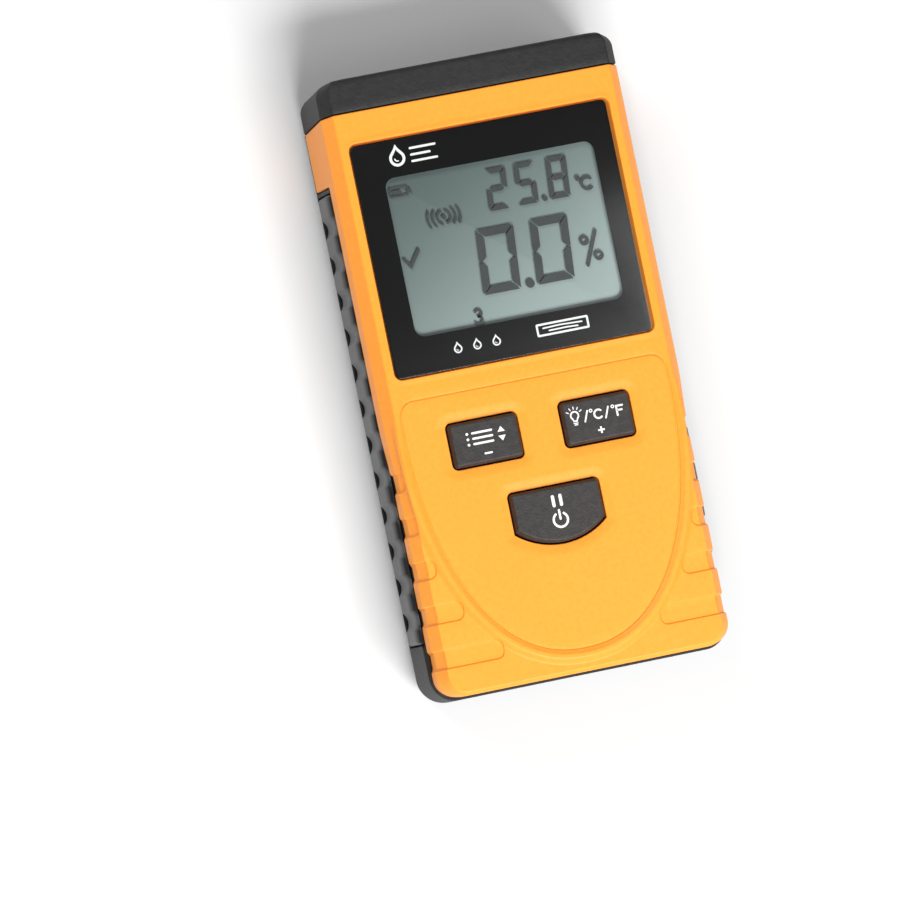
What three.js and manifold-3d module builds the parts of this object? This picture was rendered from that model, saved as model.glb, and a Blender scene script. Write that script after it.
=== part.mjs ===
// Pinless wood moisture meter, in millimetres.
// X is across the meter, Y along it towards the sensing head, and Z out of the display face.
// The meter lies on its back: the sensing pad and the two heel feet touch z = 0.

import * as THREE from "three";
import { mergeVertices } from "three/addons/utils/BufferGeometryUtils.js";
import Module from "manifold-3d";

const wasm = await Module();
wasm.setup();

// ---------------------------------------------------------------- driving dimensions

const LENGTH = 139;
const WIDTH = 69;
const BACK_Z = 1.2;
const FACE_Z = 27;
const WALL = 2.2;
const GAP = 0.3;
const TAIL_RADIUS = 6;
const HEAD_RADIUS = 2.6;

// How the sides and ends are drawn in towards the face and towards the back.
const BEVEL = { width: 2.3, depth: 3.5, draft: 0.6, tail: 1.1 };
const BACK_EDGE = { width: 2.9, depth: 5 };

// The head leans back: the cap's top and its parting line drop towards the tail with depth.
const LEAN = 0.065;
const CAP_HEIGHT = 8.1;
const CAP_FILLET = 1.2;
const CAP_BACK_FILLET = 3;

// The yellow cover is deep at the head and shallow beside the grips.
const SKIRT_Y = 46.5;
const SKIRT_Z = 5;
const SPLIT_Z = 18.5;

const WINDOW = { x: 59.5, y: 52.9, centreY: 27.9, radius: 1.8, thickness: 1.85 };
const WINDOW_LEDGE = { halfX: 31.2, beyond: 1.5, lowZ: 23, highZ: 24.8 };
const WINDOW_VIEW = { halfX: 27.2, y: [5, 49.6] };
const WINDOW_LOW_Z = 25.1;

const KEY_PROUD = 1;
const KEY_GAP = 0.35;
const KEY_CHAMFER = 0.8;
const SMALL_KEY = { x: 16.4, y: 10.5, radius: 1.3, offsetX: 12.8, centreY: -15 };
const HOLD_KEY = { x: 21, topY: -27.3, shoulderY: -36.6, tipY: -40.4, radius: 1.2 };
const HOLD_PLUNGER_Y = -33.2;

const GROOVE = { width: 4.6, depth: 0.5, firstY: -20.4, pitch: 9.96, ends: [32.9, 31.3, 29, 24.8, 17.7] };
const SHIELD = { halfWidth: 31.8, topY: -3.3, centreY: -9, reach: 56, power: 2.2, line: 0.7, depth: 0.35 };
const FIELD_DROP = 0.6;

const GRIP = { inner: 33.4, outer: 34.9, lowY: -56, highY: 45.2, lowZ: 5.6, highZ: 18 };
const SCALLOP = { pitch: 8.05, firstY: 38.1, count: 12, width: 4.4, depth: 0.9 };

const BOARD = { halfX: 29, lowY: -46, highY: 51.8, lowZ: 17.2, highZ: 18.8 };
const CASE_SCREW = { x: 27.5, ys: [54.9, -58], head: 2.3, shaft: 1.2, z: [3.9, 5.7, 18.6] };
const SCREW_BOSS = { radius: 2.6, lowZ: 7.3, bore: 1.35, boreTop: 19.5 };
const SCREW_CUP = { radius: 3.9, topZ: 7.1, bore: 2.7, floorZ: 5.9, hole: 1.5 };
const BOARD_POST = { x: 26, ys: [0, -43], radius: 2, topZ: 25.2, bore: 0.95, boreTop: 23.6 };
const BOARD_SCREW = { head: 1.8, headHeight: 1.4, shaft: 0.8, tipZ: 22.6, hole: 1.2 };
const RECESS_HALF_WIDTH = 0.3;
const RECESS_DEPTH = 0.8;

const CELL = { radius: 5.25, length: 44.5, nub: 1, nubRadius: 1.9, pitch: 11.2, centreZ: 9.3 };
const BAY = { halfX: 17.2, lowY: -65, highY: -14.6, roofZ: 15.2, wall: 1.4 };
const DOOR = { halfX: 19.7, tongue: 1.5, highY: -13.2, topZ: 3.15, tongueZ: 2.5 };
const DOOR_SLOT_TOP = 3.35;
const DOOR_FOAM = { halfX: 15.5, y: [-58, -20], topZ: 3.9, slotTop: 4.1 };
const RAIL = { halfX: 23, lowY: -68.5, sill: 3.1, z: [3, 4.6] };
const THUMB_RIDGE = { count: 5, halfX: 7, firstY: -62, pitch: 2.2, width: 1, proud: 0.5 };
const CONTACT = { thickness: 0.4, z: [5, 13.6], tabZ: [12, 12.5] };
const TAB_SLOT_Z = [11.6, 12.9];
const COIL = { reach: 3.4, turns: 3, footRadius: 3.4, tipRadius: 2.2, wire: 0.35 };

const FOOT = { x: 25.8, halfX: 3.4, y: [-66, -61.4] };
const PAD = { halfX: 23, lowY: 13, highY: 51, plug: 2.5, radius: 4, softening: 0.4, topZ: 3.7 };
const KEY_FLANGE = { grow: 0.6, z: [22.6, 23.9] };
const KEY_PLUNGER = { radius: 2.2, z: [20.4, 23] };
const PILL = { radius: 1.9, z: [19.8, 20.2] };
const PANEL_BAND = 1.4;

const FINISHES = {
  yellow: { color: 0xffa62b, roughness: 0.42, metalness: 0 },
  black: { color: 0x2b2b2c, roughness: 0.6, metalness: 0 },
  grip: { color: 0x1c1c1d, roughness: 0.38, metalness: 0 },
  key: { color: 0x444242, roughness: 0.62, metalness: 0 },
  lens: { color: 0x101112, roughness: 0.08, metalness: 0 },
  lcd: { color: 0x92a7a1, roughness: 0.2, metalness: 0 },
  white: { color: 0xe9ebe6, roughness: 0.5, metalness: 0 },
  board: { color: 0x1d5c38, roughness: 0.45, metalness: 0 },
  silicone: { color: 0x8d9296, roughness: 0.7, metalness: 0 },
  carbon: { color: 0x161616, roughness: 0.85, metalness: 0 },
  foam: { color: 0x2f3033, roughness: 0.95, metalness: 0 },
  steel: { color: 0xb9bcc0, roughness: 0.3, metalness: 1 },
  copper: { color: 0xc67a4a, roughness: 0.35, metalness: 1 },
  cell: { color: 0x3c6e54, roughness: 0.35, metalness: 0.2 },
  chip: { color: 0x1a1b1d, roughness: 0.55, metalness: 0 },
  red: { color: 0xb0211c, roughness: 0.5, metalness: 0 },
};

// ---------------------------------------------------------------- solids and shapes

// A closed geometry as a solid that can be joined and cut.
function solid(geometry) {
  geometry.deleteAttribute("normal");
  geometry.deleteAttribute("uv");
  const merged = mergeVertices(geometry, 1e-4);
  return new wasm.Manifold(
    new wasm.Mesh({
      numProp: 3,
      vertProperties: merged.attributes.position.array,
      triVerts: new Uint32Array(merged.index.array),
    }),
  );
}

// A solid's surface as a geometry again.
function geometryOf(body) {
  const mesh = body.getMesh();
  const geometry = new THREE.BufferGeometry();
  geometry.setAttribute("position", new THREE.BufferAttribute(mesh.vertProperties, 3));
  geometry.setIndex(new THREE.BufferAttribute(mesh.triVerts, 1));
  geometry.computeVertexNormals();
  return geometry;
}

function join(...bodies) {
  return bodies.reduce((all, body) => all.add(body));
}

function cut(body, ...tools) {
  return tools.reduce((left, tool) => left.subtract(tool), body);
}

// The solid centred on x = 0 that the same piece at x and at -x makes.
function bothSides(make) {
  return join(make(-1), make(1));
}

function box([x0, x1], [y0, y1], [z0, z1]) {
  const geometry = new THREE.BoxGeometry(x1 - x0, y1 - y0, z1 - z0);
  geometry.translate((x0 + x1) / 2, (y0 + y1) / 2, (z0 + z1) / 2);
  return solid(geometry);
}

// A cylinder that stands along Z.
function post(x, y, radius, [z0, z1], sides = 16) {
  const geometry = new THREE.CylinderGeometry(radius, radius, z1 - z0, sides);
  geometry.rotateX(Math.PI / 2);
  geometry.translate(x, y, (z0 + z1) / 2);
  return solid(geometry);
}

// An outline from [x, y, radius] corners, anticlockwise, with an arc at each rounded corner.
function outline(corners) {
  const shape = new THREE.Shape();
  const count = corners.length;
  corners.forEach(([x, y, radius = 0], i) => {
    const corner = new THREE.Vector2(x, y);
    const before = new THREE.Vector2(...corners[(i + count - 1) % count].slice(0, 2));
    const after = new THREE.Vector2(...corners[(i + 1) % count].slice(0, 2));
    const inward = corner.clone().sub(before).normalize();
    const outward = after.clone().sub(corner).normalize();
    const turn = Math.atan2(inward.cross(outward), inward.dot(outward));
    const side = Math.sign(turn) * radius;
    const start = corner.clone().addScaledVector(inward, -radius * Math.tan(Math.abs(turn) / 2));
    if (i === 0) shape.moveTo(start.x, start.y);
    else shape.lineTo(start.x, start.y);
    if (radius > 0) {
      const centre = new THREE.Vector2(start.x - inward.y * side, start.y + inward.x * side);
      const from = Math.atan2(start.y - centre.y, start.x - centre.x);
      shape.absarc(centre.x, centre.y, radius, from, from + turn, turn < 0);
    }
  });
  shape.closePath();
  return shape;
}

function roundedRectangle(halfX, [y0, y1], radius, topRadius = radius) {
  return outline([
    [-halfX, y0, radius],
    [halfX, y0, radius],
    [halfX, y1, topRadius],
    [-halfX, y1, topRadius],
  ]);
}

// An outline in XY, extruded from z0 to z1.
function prism(shape, [z0, z1], curveSegments = 3) {
  const settings = { depth: z1 - z0, bevelEnabled: false, curveSegments };
  const geometry = new THREE.ExtrudeGeometry(shape, settings);
  geometry.translate(0, 0, z0);
  return solid(geometry);
}

// The same, with both ends rounded in by size over a depth; the outline is the widest section.
function roundedPrism(shape, [z0, z1], size, depth, bevelSegments = 3, curveSegments = 3) {
  const geometry = new THREE.ExtrudeGeometry(shape, {
    depth: z1 - z0 - 2 * depth,
    bevelEnabled: true,
    bevelSize: size,
    bevelOffset: -size,
    bevelThickness: depth,
    bevelSegments,
    curveSegments,
  });
  geometry.translate(0, 0, z0 + depth);
  return solid(geometry);
}

// One piece made at each case screw, and at each post under the board.
function atScrews(make) {
  return bothSides((side) => join(...CASE_SCREW.ys.map((y) => make(side * CASE_SCREW.x, y))));
}

function atPosts(make) {
  return bothSides((side) => join(...BOARD_POST.ys.map((y) => make(side * BOARD_POST.x, y))));
}

// An outline in YZ, extruded across X.
function crosswise(shape, [x0, x1], curveSegments = 3) {
  const settings = { depth: x1 - x0, bevelEnabled: false, curveSegments };
  const geometry = new THREE.ExtrudeGeometry(shape, settings);
  const along = new THREE.Matrix4().makeBasis(
    new THREE.Vector3(0, 1, 0),
    new THREE.Vector3(0, 0, 1),
    new THREE.Vector3(1, 0, 0),
  );
  geometry.applyMatrix4(along);
  geometry.translate(x0, 0, 0);
  return solid(geometry);
}

// A round wire of a given radius along a curve.
function wire(curve, radius, steps, sides = 6) {
  const section = new THREE.Shape();
  for (let i = 0; i < sides; i += 1) {
    const angle = (2 * Math.PI * i) / sides;
    const x = radius * Math.cos(angle);
    const y = radius * Math.sin(angle);
    if (i === 0) section.moveTo(x, y);
    else section.lineTo(x, y);
  }
  section.closePath();
  return solid(new THREE.ExtrudeGeometry(section, { steps, extrudePath: curve }));
}

function lead(points, radius, steps) {
  const curve = new THREE.CatmullRomCurve3(points.map((p) => new THREE.Vector3(...p)));
  return wire(curve, radius, steps);
}

// ---------------------------------------------------------------- the scene

const meter = new THREE.Group();

function add(name, body, finish) {
  const mesh = new THREE.Mesh(geometryOf(body), new THREE.MeshStandardMaterial(FINISHES[finish]));
  mesh.name = name;
  meter.add(mesh);
}

// ---------------------------------------------------------------- the outside of the case

const HALF_LENGTH = LENGTH / 2;
const HALF_WIDTH = WIDTH / 2;
const FAR = 90;
const UNDER_ALL = -5;
const OVER_ALL = FACE_Z + 5;

// Where a plane that leans with the head crosses a height z, for its place y on the face.
function leaning(y, z) {
  return y - LEAN * (FACE_Z - z);
}

// Everything below such a plane, as a slab across X.
function below(y) {
  const corners = [
    [-FAR, UNDER_ALL],
    [leaning(y, UNDER_ALL), UNDER_ALL],
    [leaning(y, OVER_ALL), OVER_ALL],
    [-FAR, OVER_ALL],
  ];
  return crosswise(outline(corners), [-FAR, FAR]);
}

// One closed solid through level rings of points, listed from the lowest up.
function loft(rings) {
  const count = rings[0].length;
  const last = count * (rings.length - 1);
  const faces = [];
  for (let k = 0; k < last; k += count) {
    for (let i = 0; i < count; i += 1) {
      const next = (i + 1) % count;
      faces.push(k + i, k + next, k + count + next);
      faces.push(k + i, k + count + next, k + count + i);
    }
  }
  for (let i = 1; i < count - 1; i += 1) {
    faces.push(0, i + 1, i);
    faces.push(last, last + i, last + i + 1);
  }
  const geometry = new THREE.BufferGeometry().setFromPoints(rings.flat());
  geometry.setIndex(faces);
  return solid(geometry);
}

// How far a quarter ellipse of a width and depth is drawn in at a distance from its flat end.
function drawnIn(width, depth, distance) {
  const rest = 1 - Math.min(distance / depth, 1);
  return width * (1 - Math.sqrt(1 - rest * rest));
}

// The case's outline at a height: sides, tail and head drawn in as its edges are, all less an inset.
function caseRing(z, inset) {
  const up = z - BACK_Z;
  const down = FACE_Z - z;
  const rear = drawnIn(BACK_EDGE.width, BACK_EDGE.depth, up);
  const wallDepth = FACE_Z - BACK_Z - BEVEL.depth - BACK_EDGE.depth;
  const draft = BEVEL.draft * Math.max(0, 1 - Math.max(down - BEVEL.depth, 0) / wallDepth);
  const bevel = BEVEL.width * Math.max(0, 1 - down / BEVEL.depth);
  const halfX = HALF_WIDTH - rear - draft - bevel - inset;
  const tailY = HALF_LENGTH - rear - drawnIn(BEVEL.tail, BEVEL.tail, down) - inset;
  const headFillets = drawnIn(CAP_FILLET, CAP_FILLET, down) + drawnIn(CAP_BACK_FILLET, CAP_BACK_FILLET, up);
  const headY = leaning(HALF_LENGTH + LEAN * CAP_FILLET, z) - headFillets - inset;
  const shape = roundedRectangle(halfX, [-tailY, headY], TAIL_RADIUS - inset / 2, HEAD_RADIUS - inset / 2);
  const scale = (FACE_Z - BACK_Z - 2 * inset) / (FACE_Z - BACK_Z);
  const level = BACK_Z + inset + up * scale;
  return shape.getPoints(3).map(({ x, y }) => new THREE.Vector3(x, y, level));
}

// The case with all its edges, drawn in by an inset on every side.
function caseShape(inset) {
  const fromBack = [0, 0.3, 1, 2, CAP_BACK_FILLET, BACK_EDGE.depth].map((up) => BACK_Z + up);
  const fromFace = [BEVEL.depth, CAP_FILLET, 0.6, 0.2, 0].map((down) => FACE_Z - down);
  return loft([...fromBack, ...fromFace].map((z) => caseRing(z, inset)));
}

const outside = caseShape(0);
const inside = caseShape(WALL).intersect(below(HALF_LENGTH - 2 * WALL));

// The region in front of the parting surface, moved by shift, seen from the side.
function frontRegion(shift) {
  const step = SKIRT_Y + shift;
  const corners = [
    [-FAR, SPLIT_Z + shift],
    [step, SPLIT_Z + shift],
    [step, SKIRT_Z + shift],
    [FAR, SKIRT_Z + shift],
    [FAR, FACE_Z + 5],
    [-FAR, FACE_Z + 5],
  ];
  return crosswise(outline(corners), [-FAR, FAR]);
}

const capPlane = HALF_LENGTH - CAP_HEIGHT;
const bodySide = below(capPlane - GAP / 2);

// ---------------------------------------------------------------- front cover

function holdOutline(grow) {
  const halfX = HOLD_KEY.x / 2 + grow;
  const rise = HOLD_KEY.shoulderY - HOLD_KEY.tipY;
  const radius = (halfX * halfX + rise * rise) / (2 * rise);
  const centreY = HOLD_KEY.tipY - grow + radius;
  const spread = Math.asin(halfX / radius);
  const topY = HOLD_KEY.topY + grow;
  const shape = new THREE.Shape();
  shape.moveTo(halfX, topY - HOLD_KEY.radius);
  shape.absarc(halfX - HOLD_KEY.radius, topY - HOLD_KEY.radius, HOLD_KEY.radius, 0, Math.PI / 2);
  shape.absarc(-halfX + HOLD_KEY.radius, topY - HOLD_KEY.radius, HOLD_KEY.radius, Math.PI / 2, Math.PI);
  shape.absarc(0, centreY, radius, -Math.PI / 2 - spread, -Math.PI / 2 + spread);
  shape.closePath();
  return shape;
}

function smallKeyOutline(side, grow) {
  const halfX = SMALL_KEY.x / 2 + grow;
  const halfY = SMALL_KEY.y / 2 + grow;
  const x = side * SMALL_KEY.offsetX;
  return outline([
    [x - halfX, SMALL_KEY.centreY - halfY, SMALL_KEY.radius],
    [x + halfX, SMALL_KEY.centreY - halfY, SMALL_KEY.radius],
    [x + halfX, SMALL_KEY.centreY + halfY, SMALL_KEY.radius],
    [x - halfX, SMALL_KEY.centreY + halfY, SMALL_KEY.radius],
  ]);
}

// The shield panel round the keys: a flat top that runs down into a half superellipse.
function shieldOutline(grow) {
  const steps = 28;
  const halfX = SHIELD.halfWidth + grow;
  const reach = SHIELD.reach + grow;
  const shape = new THREE.Shape();
  shape.moveTo(-halfX, SHIELD.topY + grow);
  for (let i = 0; i <= steps; i += 1) {
    const angle = Math.PI + (Math.PI * i) / steps;
    const cos = Math.cos(angle);
    const x = halfX * Math.sign(cos) * Math.abs(cos) ** (2 / SHIELD.power);
    const y = SHIELD.centreY - reach * Math.abs(Math.sin(angle)) ** (2 / SHIELD.power);
    shape.lineTo(x, y);
  }
  shape.lineTo(halfX, SHIELD.topY + grow);
  shape.closePath();
  return shape;
}

// A slot with a round inner end that runs out through one side of the case.
function gripGroove(side, endX, y) {
  const half = GROOVE.width / 2;
  const centreX = side * (endX + half);
  const farX = side * (HALF_WIDTH + 5);
  const heights = [SPLIT_Z - 3, FACE_Z + 3];
  const run = box([Math.min(centreX, farX), Math.max(centreX, farX)], [y - half, y + half], heights);
  return join(run, post(centreX, y, half, heights));
}

function frontCover() {
  const shell = cut(outside.intersect(frontRegion(GAP / 2)).intersect(bodySide), inside);
  const intoWall = FACE_Z - WALL + 0.5;
  const windowY = [WINDOW.centreY - WINDOW.y / 2, WINDOW.centreY + WINDOW.y / 2];
  const { halfX, beyond, lowZ, highZ } = WINDOW_LEDGE;
  const ledge = box([-halfX, halfX], [windowY[0] - beyond, windowY[1] + beyond], [lowZ, highZ + 0.2]);
  const screwBosses = atScrews((x, y) => post(x, y, SCREW_BOSS.radius, [SCREW_BOSS.lowZ, intoWall]));
  const boardPosts = atPosts((x, y) => post(x, y, BOARD_POST.radius, [BOARD.highZ + 0.1, BOARD_POST.topZ]));
  const windowOpening = prism(roundedRectangle(WINDOW.x / 2, windowY, WINDOW.radius), [highZ, OVER_ALL], 2);
  const viewOpening = box([-WINDOW_VIEW.halfX, WINDOW_VIEW.halfX], WINDOW_VIEW.y, [20, OVER_ALL]);
  const keyOpenings = join(
    prism(smallKeyOutline(-1, 0), [20, OVER_ALL], 2),
    prism(smallKeyOutline(1, 0), [20, OVER_ALL], 2),
    prism(holdOutline(0), [20, OVER_ALL], 3),
  );
  const screwPilots = atScrews((x, y) => post(x, y, SCREW_BOSS.bore, [5, SCREW_BOSS.boreTop], 12));
  const boardPilots = atPosts((x, y) => post(x, y, BOARD_POST.bore, [15, BOARD_POST.boreTop], 10));
  const skin = outside.subtract(caseShape(GROOVE.depth));
  const grooves = bothSides((side) =>
    join(...GROOVE.ends.map((endX, i) => gripGroove(side, endX, GROOVE.firstY - i * GROOVE.pitch))),
  );
  const line = cut(
    prism(shieldOutline(0), [FACE_Z - SHIELD.depth, OVER_ALL]),
    prism(shieldOutline(-SHIELD.line), [0, OVER_ALL]),
  );
  const field = cut(
    box([-FAR, FAR], [-FAR, SHIELD.centreY], [FACE_Z - FIELD_DROP, OVER_ALL]),
    prism(shieldOutline(PANEL_BAND), [0, OVER_ALL]),
  );
  const body = join(shell, ledge, screwBosses, boardPosts);
  const openings = join(windowOpening, viewOpening, keyOpenings);
  return cut(body, openings, screwPilots, boardPilots, grooves.intersect(skin), line, field);
}

add("front_cover", frontCover(), "yellow");

// ---------------------------------------------------------------- head cap and side grips

function headCap() {
  const shell = cut(outside, below(capPlane + GAP / 2), inside);
  const lipY = [capPlane - 2.4, capPlane + 1.6];
  const ring = cut(
    caseShape(WALL + GAP).intersect(box([-FAR, FAR], lipY, [0, FACE_Z])),
    box([-29.5, 29.5], [lipY[0] - 1, lipY[1] + 1], [5, 22]),
  );
  const roots = bothSides((side) =>
    box([side > 0 ? 30.6 : -33, side > 0 ? 33 : -30.6], [capPlane + 0.3, capPlane + 1.6], [6, 22]),
  );
  return join(shell, ring, roots);
}

add("head_cap", headCap(), "black");

// One grip strip, scalloped along its outer side.
function sideGrip(side) {
  const half = SCALLOP.width / 2;
  const corners = [
    [GRIP.inner, GRIP.lowY],
    [GRIP.outer, GRIP.lowY, 1],
    [GRIP.outer, GRIP.highY, 1],
    [GRIP.inner, GRIP.highY],
  ];
  const strip = prism(outline(corners), [GRIP.lowZ, GRIP.highZ], 1);
  const radius = (half * half + SCALLOP.depth ** 2) / (2 * SCALLOP.depth);
  const scallops = Array.from({ length: SCALLOP.count }, (_, i) =>
    post(GRIP.outer - SCALLOP.depth + radius, SCALLOP.firstY - i * SCALLOP.pitch, radius, [0, 30], 20),
  );
  const made = cut(strip, ...scallops);
  return side > 0 ? made : made.mirror([1, 0, 0]);
}

add("side_grip_left", sideGrip(-1), "grip");
add("side_grip_right", sideGrip(1), "grip");

// ---------------------------------------------------------------- back cover

function backCover() {
  const behind = outside.subtract(frontRegion(-GAP / 2));
  const shell = cut(behind.intersect(bodySide), inside);
  const feet = bothSides((side) =>
    box([side * FOOT.x - FOOT.halfX, side * FOOT.x + FOOT.halfX], FOOT.y, [0, BACK_Z + 0.5]),
  );
  const bayY = [BAY.lowY - BAY.wall, BAY.highY + BAY.wall];
  const bayX = BAY.halfX + BAY.wall;
  const bay = box([-bayX, bayX], bayY, [DOOR_SLOT_TOP, BAY.roofZ + 1.2]);
  const railX = [-RAIL.halfX, RAIL.halfX];
  const rails = box(railX, [RAIL.lowY, BAY.highY + BAY.wall], RAIL.z);
  const sill = box(railX, [BAY.highY, BAY.highY + RAIL.sill], RAIL.z);
  const cups = atScrews((x, y) => post(x, y, SCREW_CUP.radius, [BACK_Z + 0.8, SCREW_CUP.topZ], 20));
  const counterbores = atScrews((x, y) => post(x, y, SCREW_CUP.bore, [UNDER_ALL, SCREW_CUP.floorZ]));
  const screwHoles = atScrews((x, y) => post(x, y, SCREW_CUP.hole, [UNDER_ALL, SCREW_CUP.topZ + 1], 12));
  const hollow = box([-BAY.halfX, BAY.halfX], [BAY.lowY, BAY.highY], [0, BAY.roofZ]);
  const doorSlot = join(
    box([-DOOR.halfX - GAP, DOOR.halfX + GAP], [-FAR, DOOR.highY + GAP], [-1, DOOR_SLOT_TOP]),
    box(
      [-DOOR.halfX - DOOR.tongue - GAP, DOOR.halfX + DOOR.tongue + GAP],
      [-FAR, DOOR.highY + GAP],
      [DOOR.tongueZ - GAP, DOOR_SLOT_TOP],
    ),
    box([-BAY.halfX, BAY.halfX], [-FAR, BAY.lowY + 1], [0, DOOR_FOAM.slotTop]),
  );
  const padOpening = box(
    [-PAD.halfX + PAD.plug - GAP, PAD.halfX - PAD.plug + GAP],
    [PAD.lowY + PAD.plug - GAP, PAD.highY - PAD.plug + GAP],
    [0, 5],
  );
  const gripPockets = bothSides((side) =>
    box(
      [side > 0 ? GRIP.inner - GAP : -FAR, side > 0 ? FAR : GAP - GRIP.inner],
      [GRIP.lowY - GAP, GRIP.highY + GAP],
      [GRIP.lowZ - GAP, 20],
    ),
  );
  const tabSlots = join(
    box([-CELL.pitch - 1.4, -CELL.pitch + 1.4], [BAY.highY - 1, BAY.highY + 3], TAB_SLOT_Z),
    box([BAY.halfX - 1, bayX + 1], [BAY.lowY - 0.1, BAY.lowY + 1], TAB_SLOT_Z),
  );
  const body = join(shell, feet, bay, rails, sill, cups);
  return cut(body, hollow, doorSlot, padOpening, gripPockets, counterbores, screwHoles, tabSlots);
}

add("back_cover", backCover(), "black");

// ---------------------------------------------------------------- battery door, cells and contacts

function batteryDoor() {
  const plate = box([-DOOR.halfX, DOOR.halfX], [-FAR, DOOR.highY], [0, DOOR.topZ]);
  const tongues = box(
    [-DOOR.halfX - DOOR.tongue, DOOR.halfX + DOOR.tongue],
    [-FAR, DOOR.highY],
    [DOOR.tongueZ, DOOR.topZ],
  );
  const { count, halfX, firstY, pitch, width, proud } = THUMB_RIDGE;
  const thumbRidges = Array.from({ length: count }, (_, i) => {
    const y = firstY + i * pitch;
    return box([-halfX, halfX], [y, y + width], [BACK_Z - proud, BACK_Z + proud]);
  });
  return join(join(plate, tongues).intersect(outside), ...thumbRidges);
}

add("battery_door", batteryDoor(), "black");
const doorFoamX = [-DOOR_FOAM.halfX, DOOR_FOAM.halfX];
const doorFoam = box(doorFoamX, DOOR_FOAM.y, [DOOR.topZ + 0.1, DOOR_FOAM.topZ]);
add("door_foam", doorFoam, "foam");

const HEAD_PLATE_Y = BAY.highY - 0.6;
const TAIL_PLATE_Y = BAY.lowY + 0.6;

// A dry cell that lies along Y; facing is 1 with its positive end to the head, -1 to the tail.
function cell(x, facing) {
  const bodyEnd = CELL.length - CELL.nub;
  const profile = [
    [0, 0],
    [4.2, 0],
    [4.4, 0.3],
    [CELL.radius, 0.5],
    [CELL.radius, bodyEnd - 0.6],
    [4.6, bodyEnd],
    [CELL.nubRadius, bodyEnd],
    [CELL.nubRadius, CELL.length - 0.2],
    [CELL.nubRadius - 0.3, CELL.length],
    [0, CELL.length],
  ];
  const geometry = new THREE.LatheGeometry(profile.map(([r, y]) => new THREE.Vector2(r, y)), 16);
  const tip = facing > 0 ? HEAD_PLATE_Y - GAP : TAIL_PLATE_Y + GAP;
  if (facing < 0) geometry.rotateZ(Math.PI);
  geometry.translate(x, tip - facing * CELL.length, CELL.centreZ);
  return solid(geometry);
}

add("battery_1", cell(-CELL.pitch, 1), "cell");
add("battery_2", cell(0, -1), "cell");
add("battery_3", cell(CELL.pitch, 1), "cell");

// A conical coil whose axis is along Y, from a contact plate towards a cell.
class Coil extends THREE.Curve {
  constructor(x, y, z, reach) {
    super();
    this.foot = new THREE.Vector3(x, y, z);
    this.reach = reach;
  }

  getPoint(t, target = new THREE.Vector3()) {
    const angle = 2 * Math.PI * COIL.turns * t;
    const radius = COIL.footRadius + (COIL.tipRadius - COIL.footRadius) * t;
    return target.set(
      this.foot.x + radius * Math.cos(angle),
      this.foot.y + this.reach * t,
      this.foot.z + radius * Math.sin(angle),
    );
  }
}

const HALF_PLATE = CONTACT.thickness / 2;

function contactPlate([x0, x1], y) {
  return box([x0, x1], [y - HALF_PLATE, y + HALF_PLATE], CONTACT.z);
}

function coil(x, y, towards) {
  return wire(new Coil(x, y, CELL.centreZ, towards * COIL.reach), COIL.wire, 30, 5);
}

const headPlate = HEAD_PLATE_Y + HALF_PLATE;
const tailPlate = TAIL_PLATE_Y - HALF_PLATE;
const tabY = [headPlate - HALF_PLATE / 2, BAY.highY + 2.2];
const positiveTab = box([1 - CELL.pitch - 2, 1 - CELL.pitch], tabY, CONTACT.tabZ);
const negativeTab = box([16, 20], [tailPlate - HALF_PLATE, tailPlate + HALF_PLATE], CONTACT.tabZ);
add("contact_positive", join(contactPlate([-16, -6.4], headPlate), positiveTab), "steel");
add("contact_bridge_head", join(contactPlate([-4.8, 16], headPlate), coil(0, headPlate, -1)), "steel");
add("contact_bridge_tail", join(contactPlate([-16, 4.8], tailPlate), coil(-CELL.pitch, tailPlate, 1)), "steel");
add(
  "contact_negative",
  join(contactPlate([6.4, 16.5], tailPlate), negativeTab, coil(CELL.pitch, tailPlate, 1)),
  "steel",
);

// ---------------------------------------------------------------- display stack

function displayWindow() {
  const halfY = WINDOW.y / 2 - GAP;
  const shape = roundedRectangle(
    WINDOW.x / 2 - GAP,
    [WINDOW.centreY - halfY, WINDOW.centreY + halfY],
    WINDOW.radius - GAP,
  );
  return prism(shape, [WINDOW_LOW_Z, WINDOW_LOW_Z + WINDOW.thickness], 2);
}

function frame(halfX, [y0, y1], innerX, [v0, v1], heights) {
  const hole = box([-innerX, innerX], [v0, v1], [heights[0] - 1, heights[1] + 1]);
  return box([-halfX, halfX], [y0, y1], heights).subtract(hole);
}

add("display_window", displayWindow(), "lens");
add("window_gasket", frame(29.2, [2, 53.8], 27.4, [4.8, 49.8], [24.85, 25.05]), "carbon");
add("lcd_panel", box([-26.8, 26.8], [5.4, 49.2], [22.9, 24.7]), "lcd");
add(
  "lcd_frame",
  frame(28.6, [3.4, 51], 25.4, [9.4, 48.2], [18.95, 22.8]).subtract(box([-23.2, 23.2], [5.6, 8.4], [18, 24])),
  "white",
);
add("backlight_panel", box([-25.1, 25.1], [9.7, 47.9], [20.8, 22.6]), "white");
add("backlight_led", box([-1.8, 1.8], [11, 13.8], [18.95, 20.4]), "white");
add("zebra_strip", box([-23, 23], [5.9, 8.1], [19, 22.75]), "silicone");

// ---------------------------------------------------------------- board and its components

function mainBoard() {
  const { halfX, lowY, highY, lowZ, highZ } = BOARD;
  const plate = prism(roundedRectangle(halfX, [lowY, highY], 2), [lowZ, highZ], 1);
  const holes = atPosts((x, y) => post(x, y, BOARD_SCREW.hole, [lowZ - 1, highZ + 1], 12));
  return plate.subtract(holes);
}

const UNDER = BOARD.lowZ - 0.1;

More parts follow.
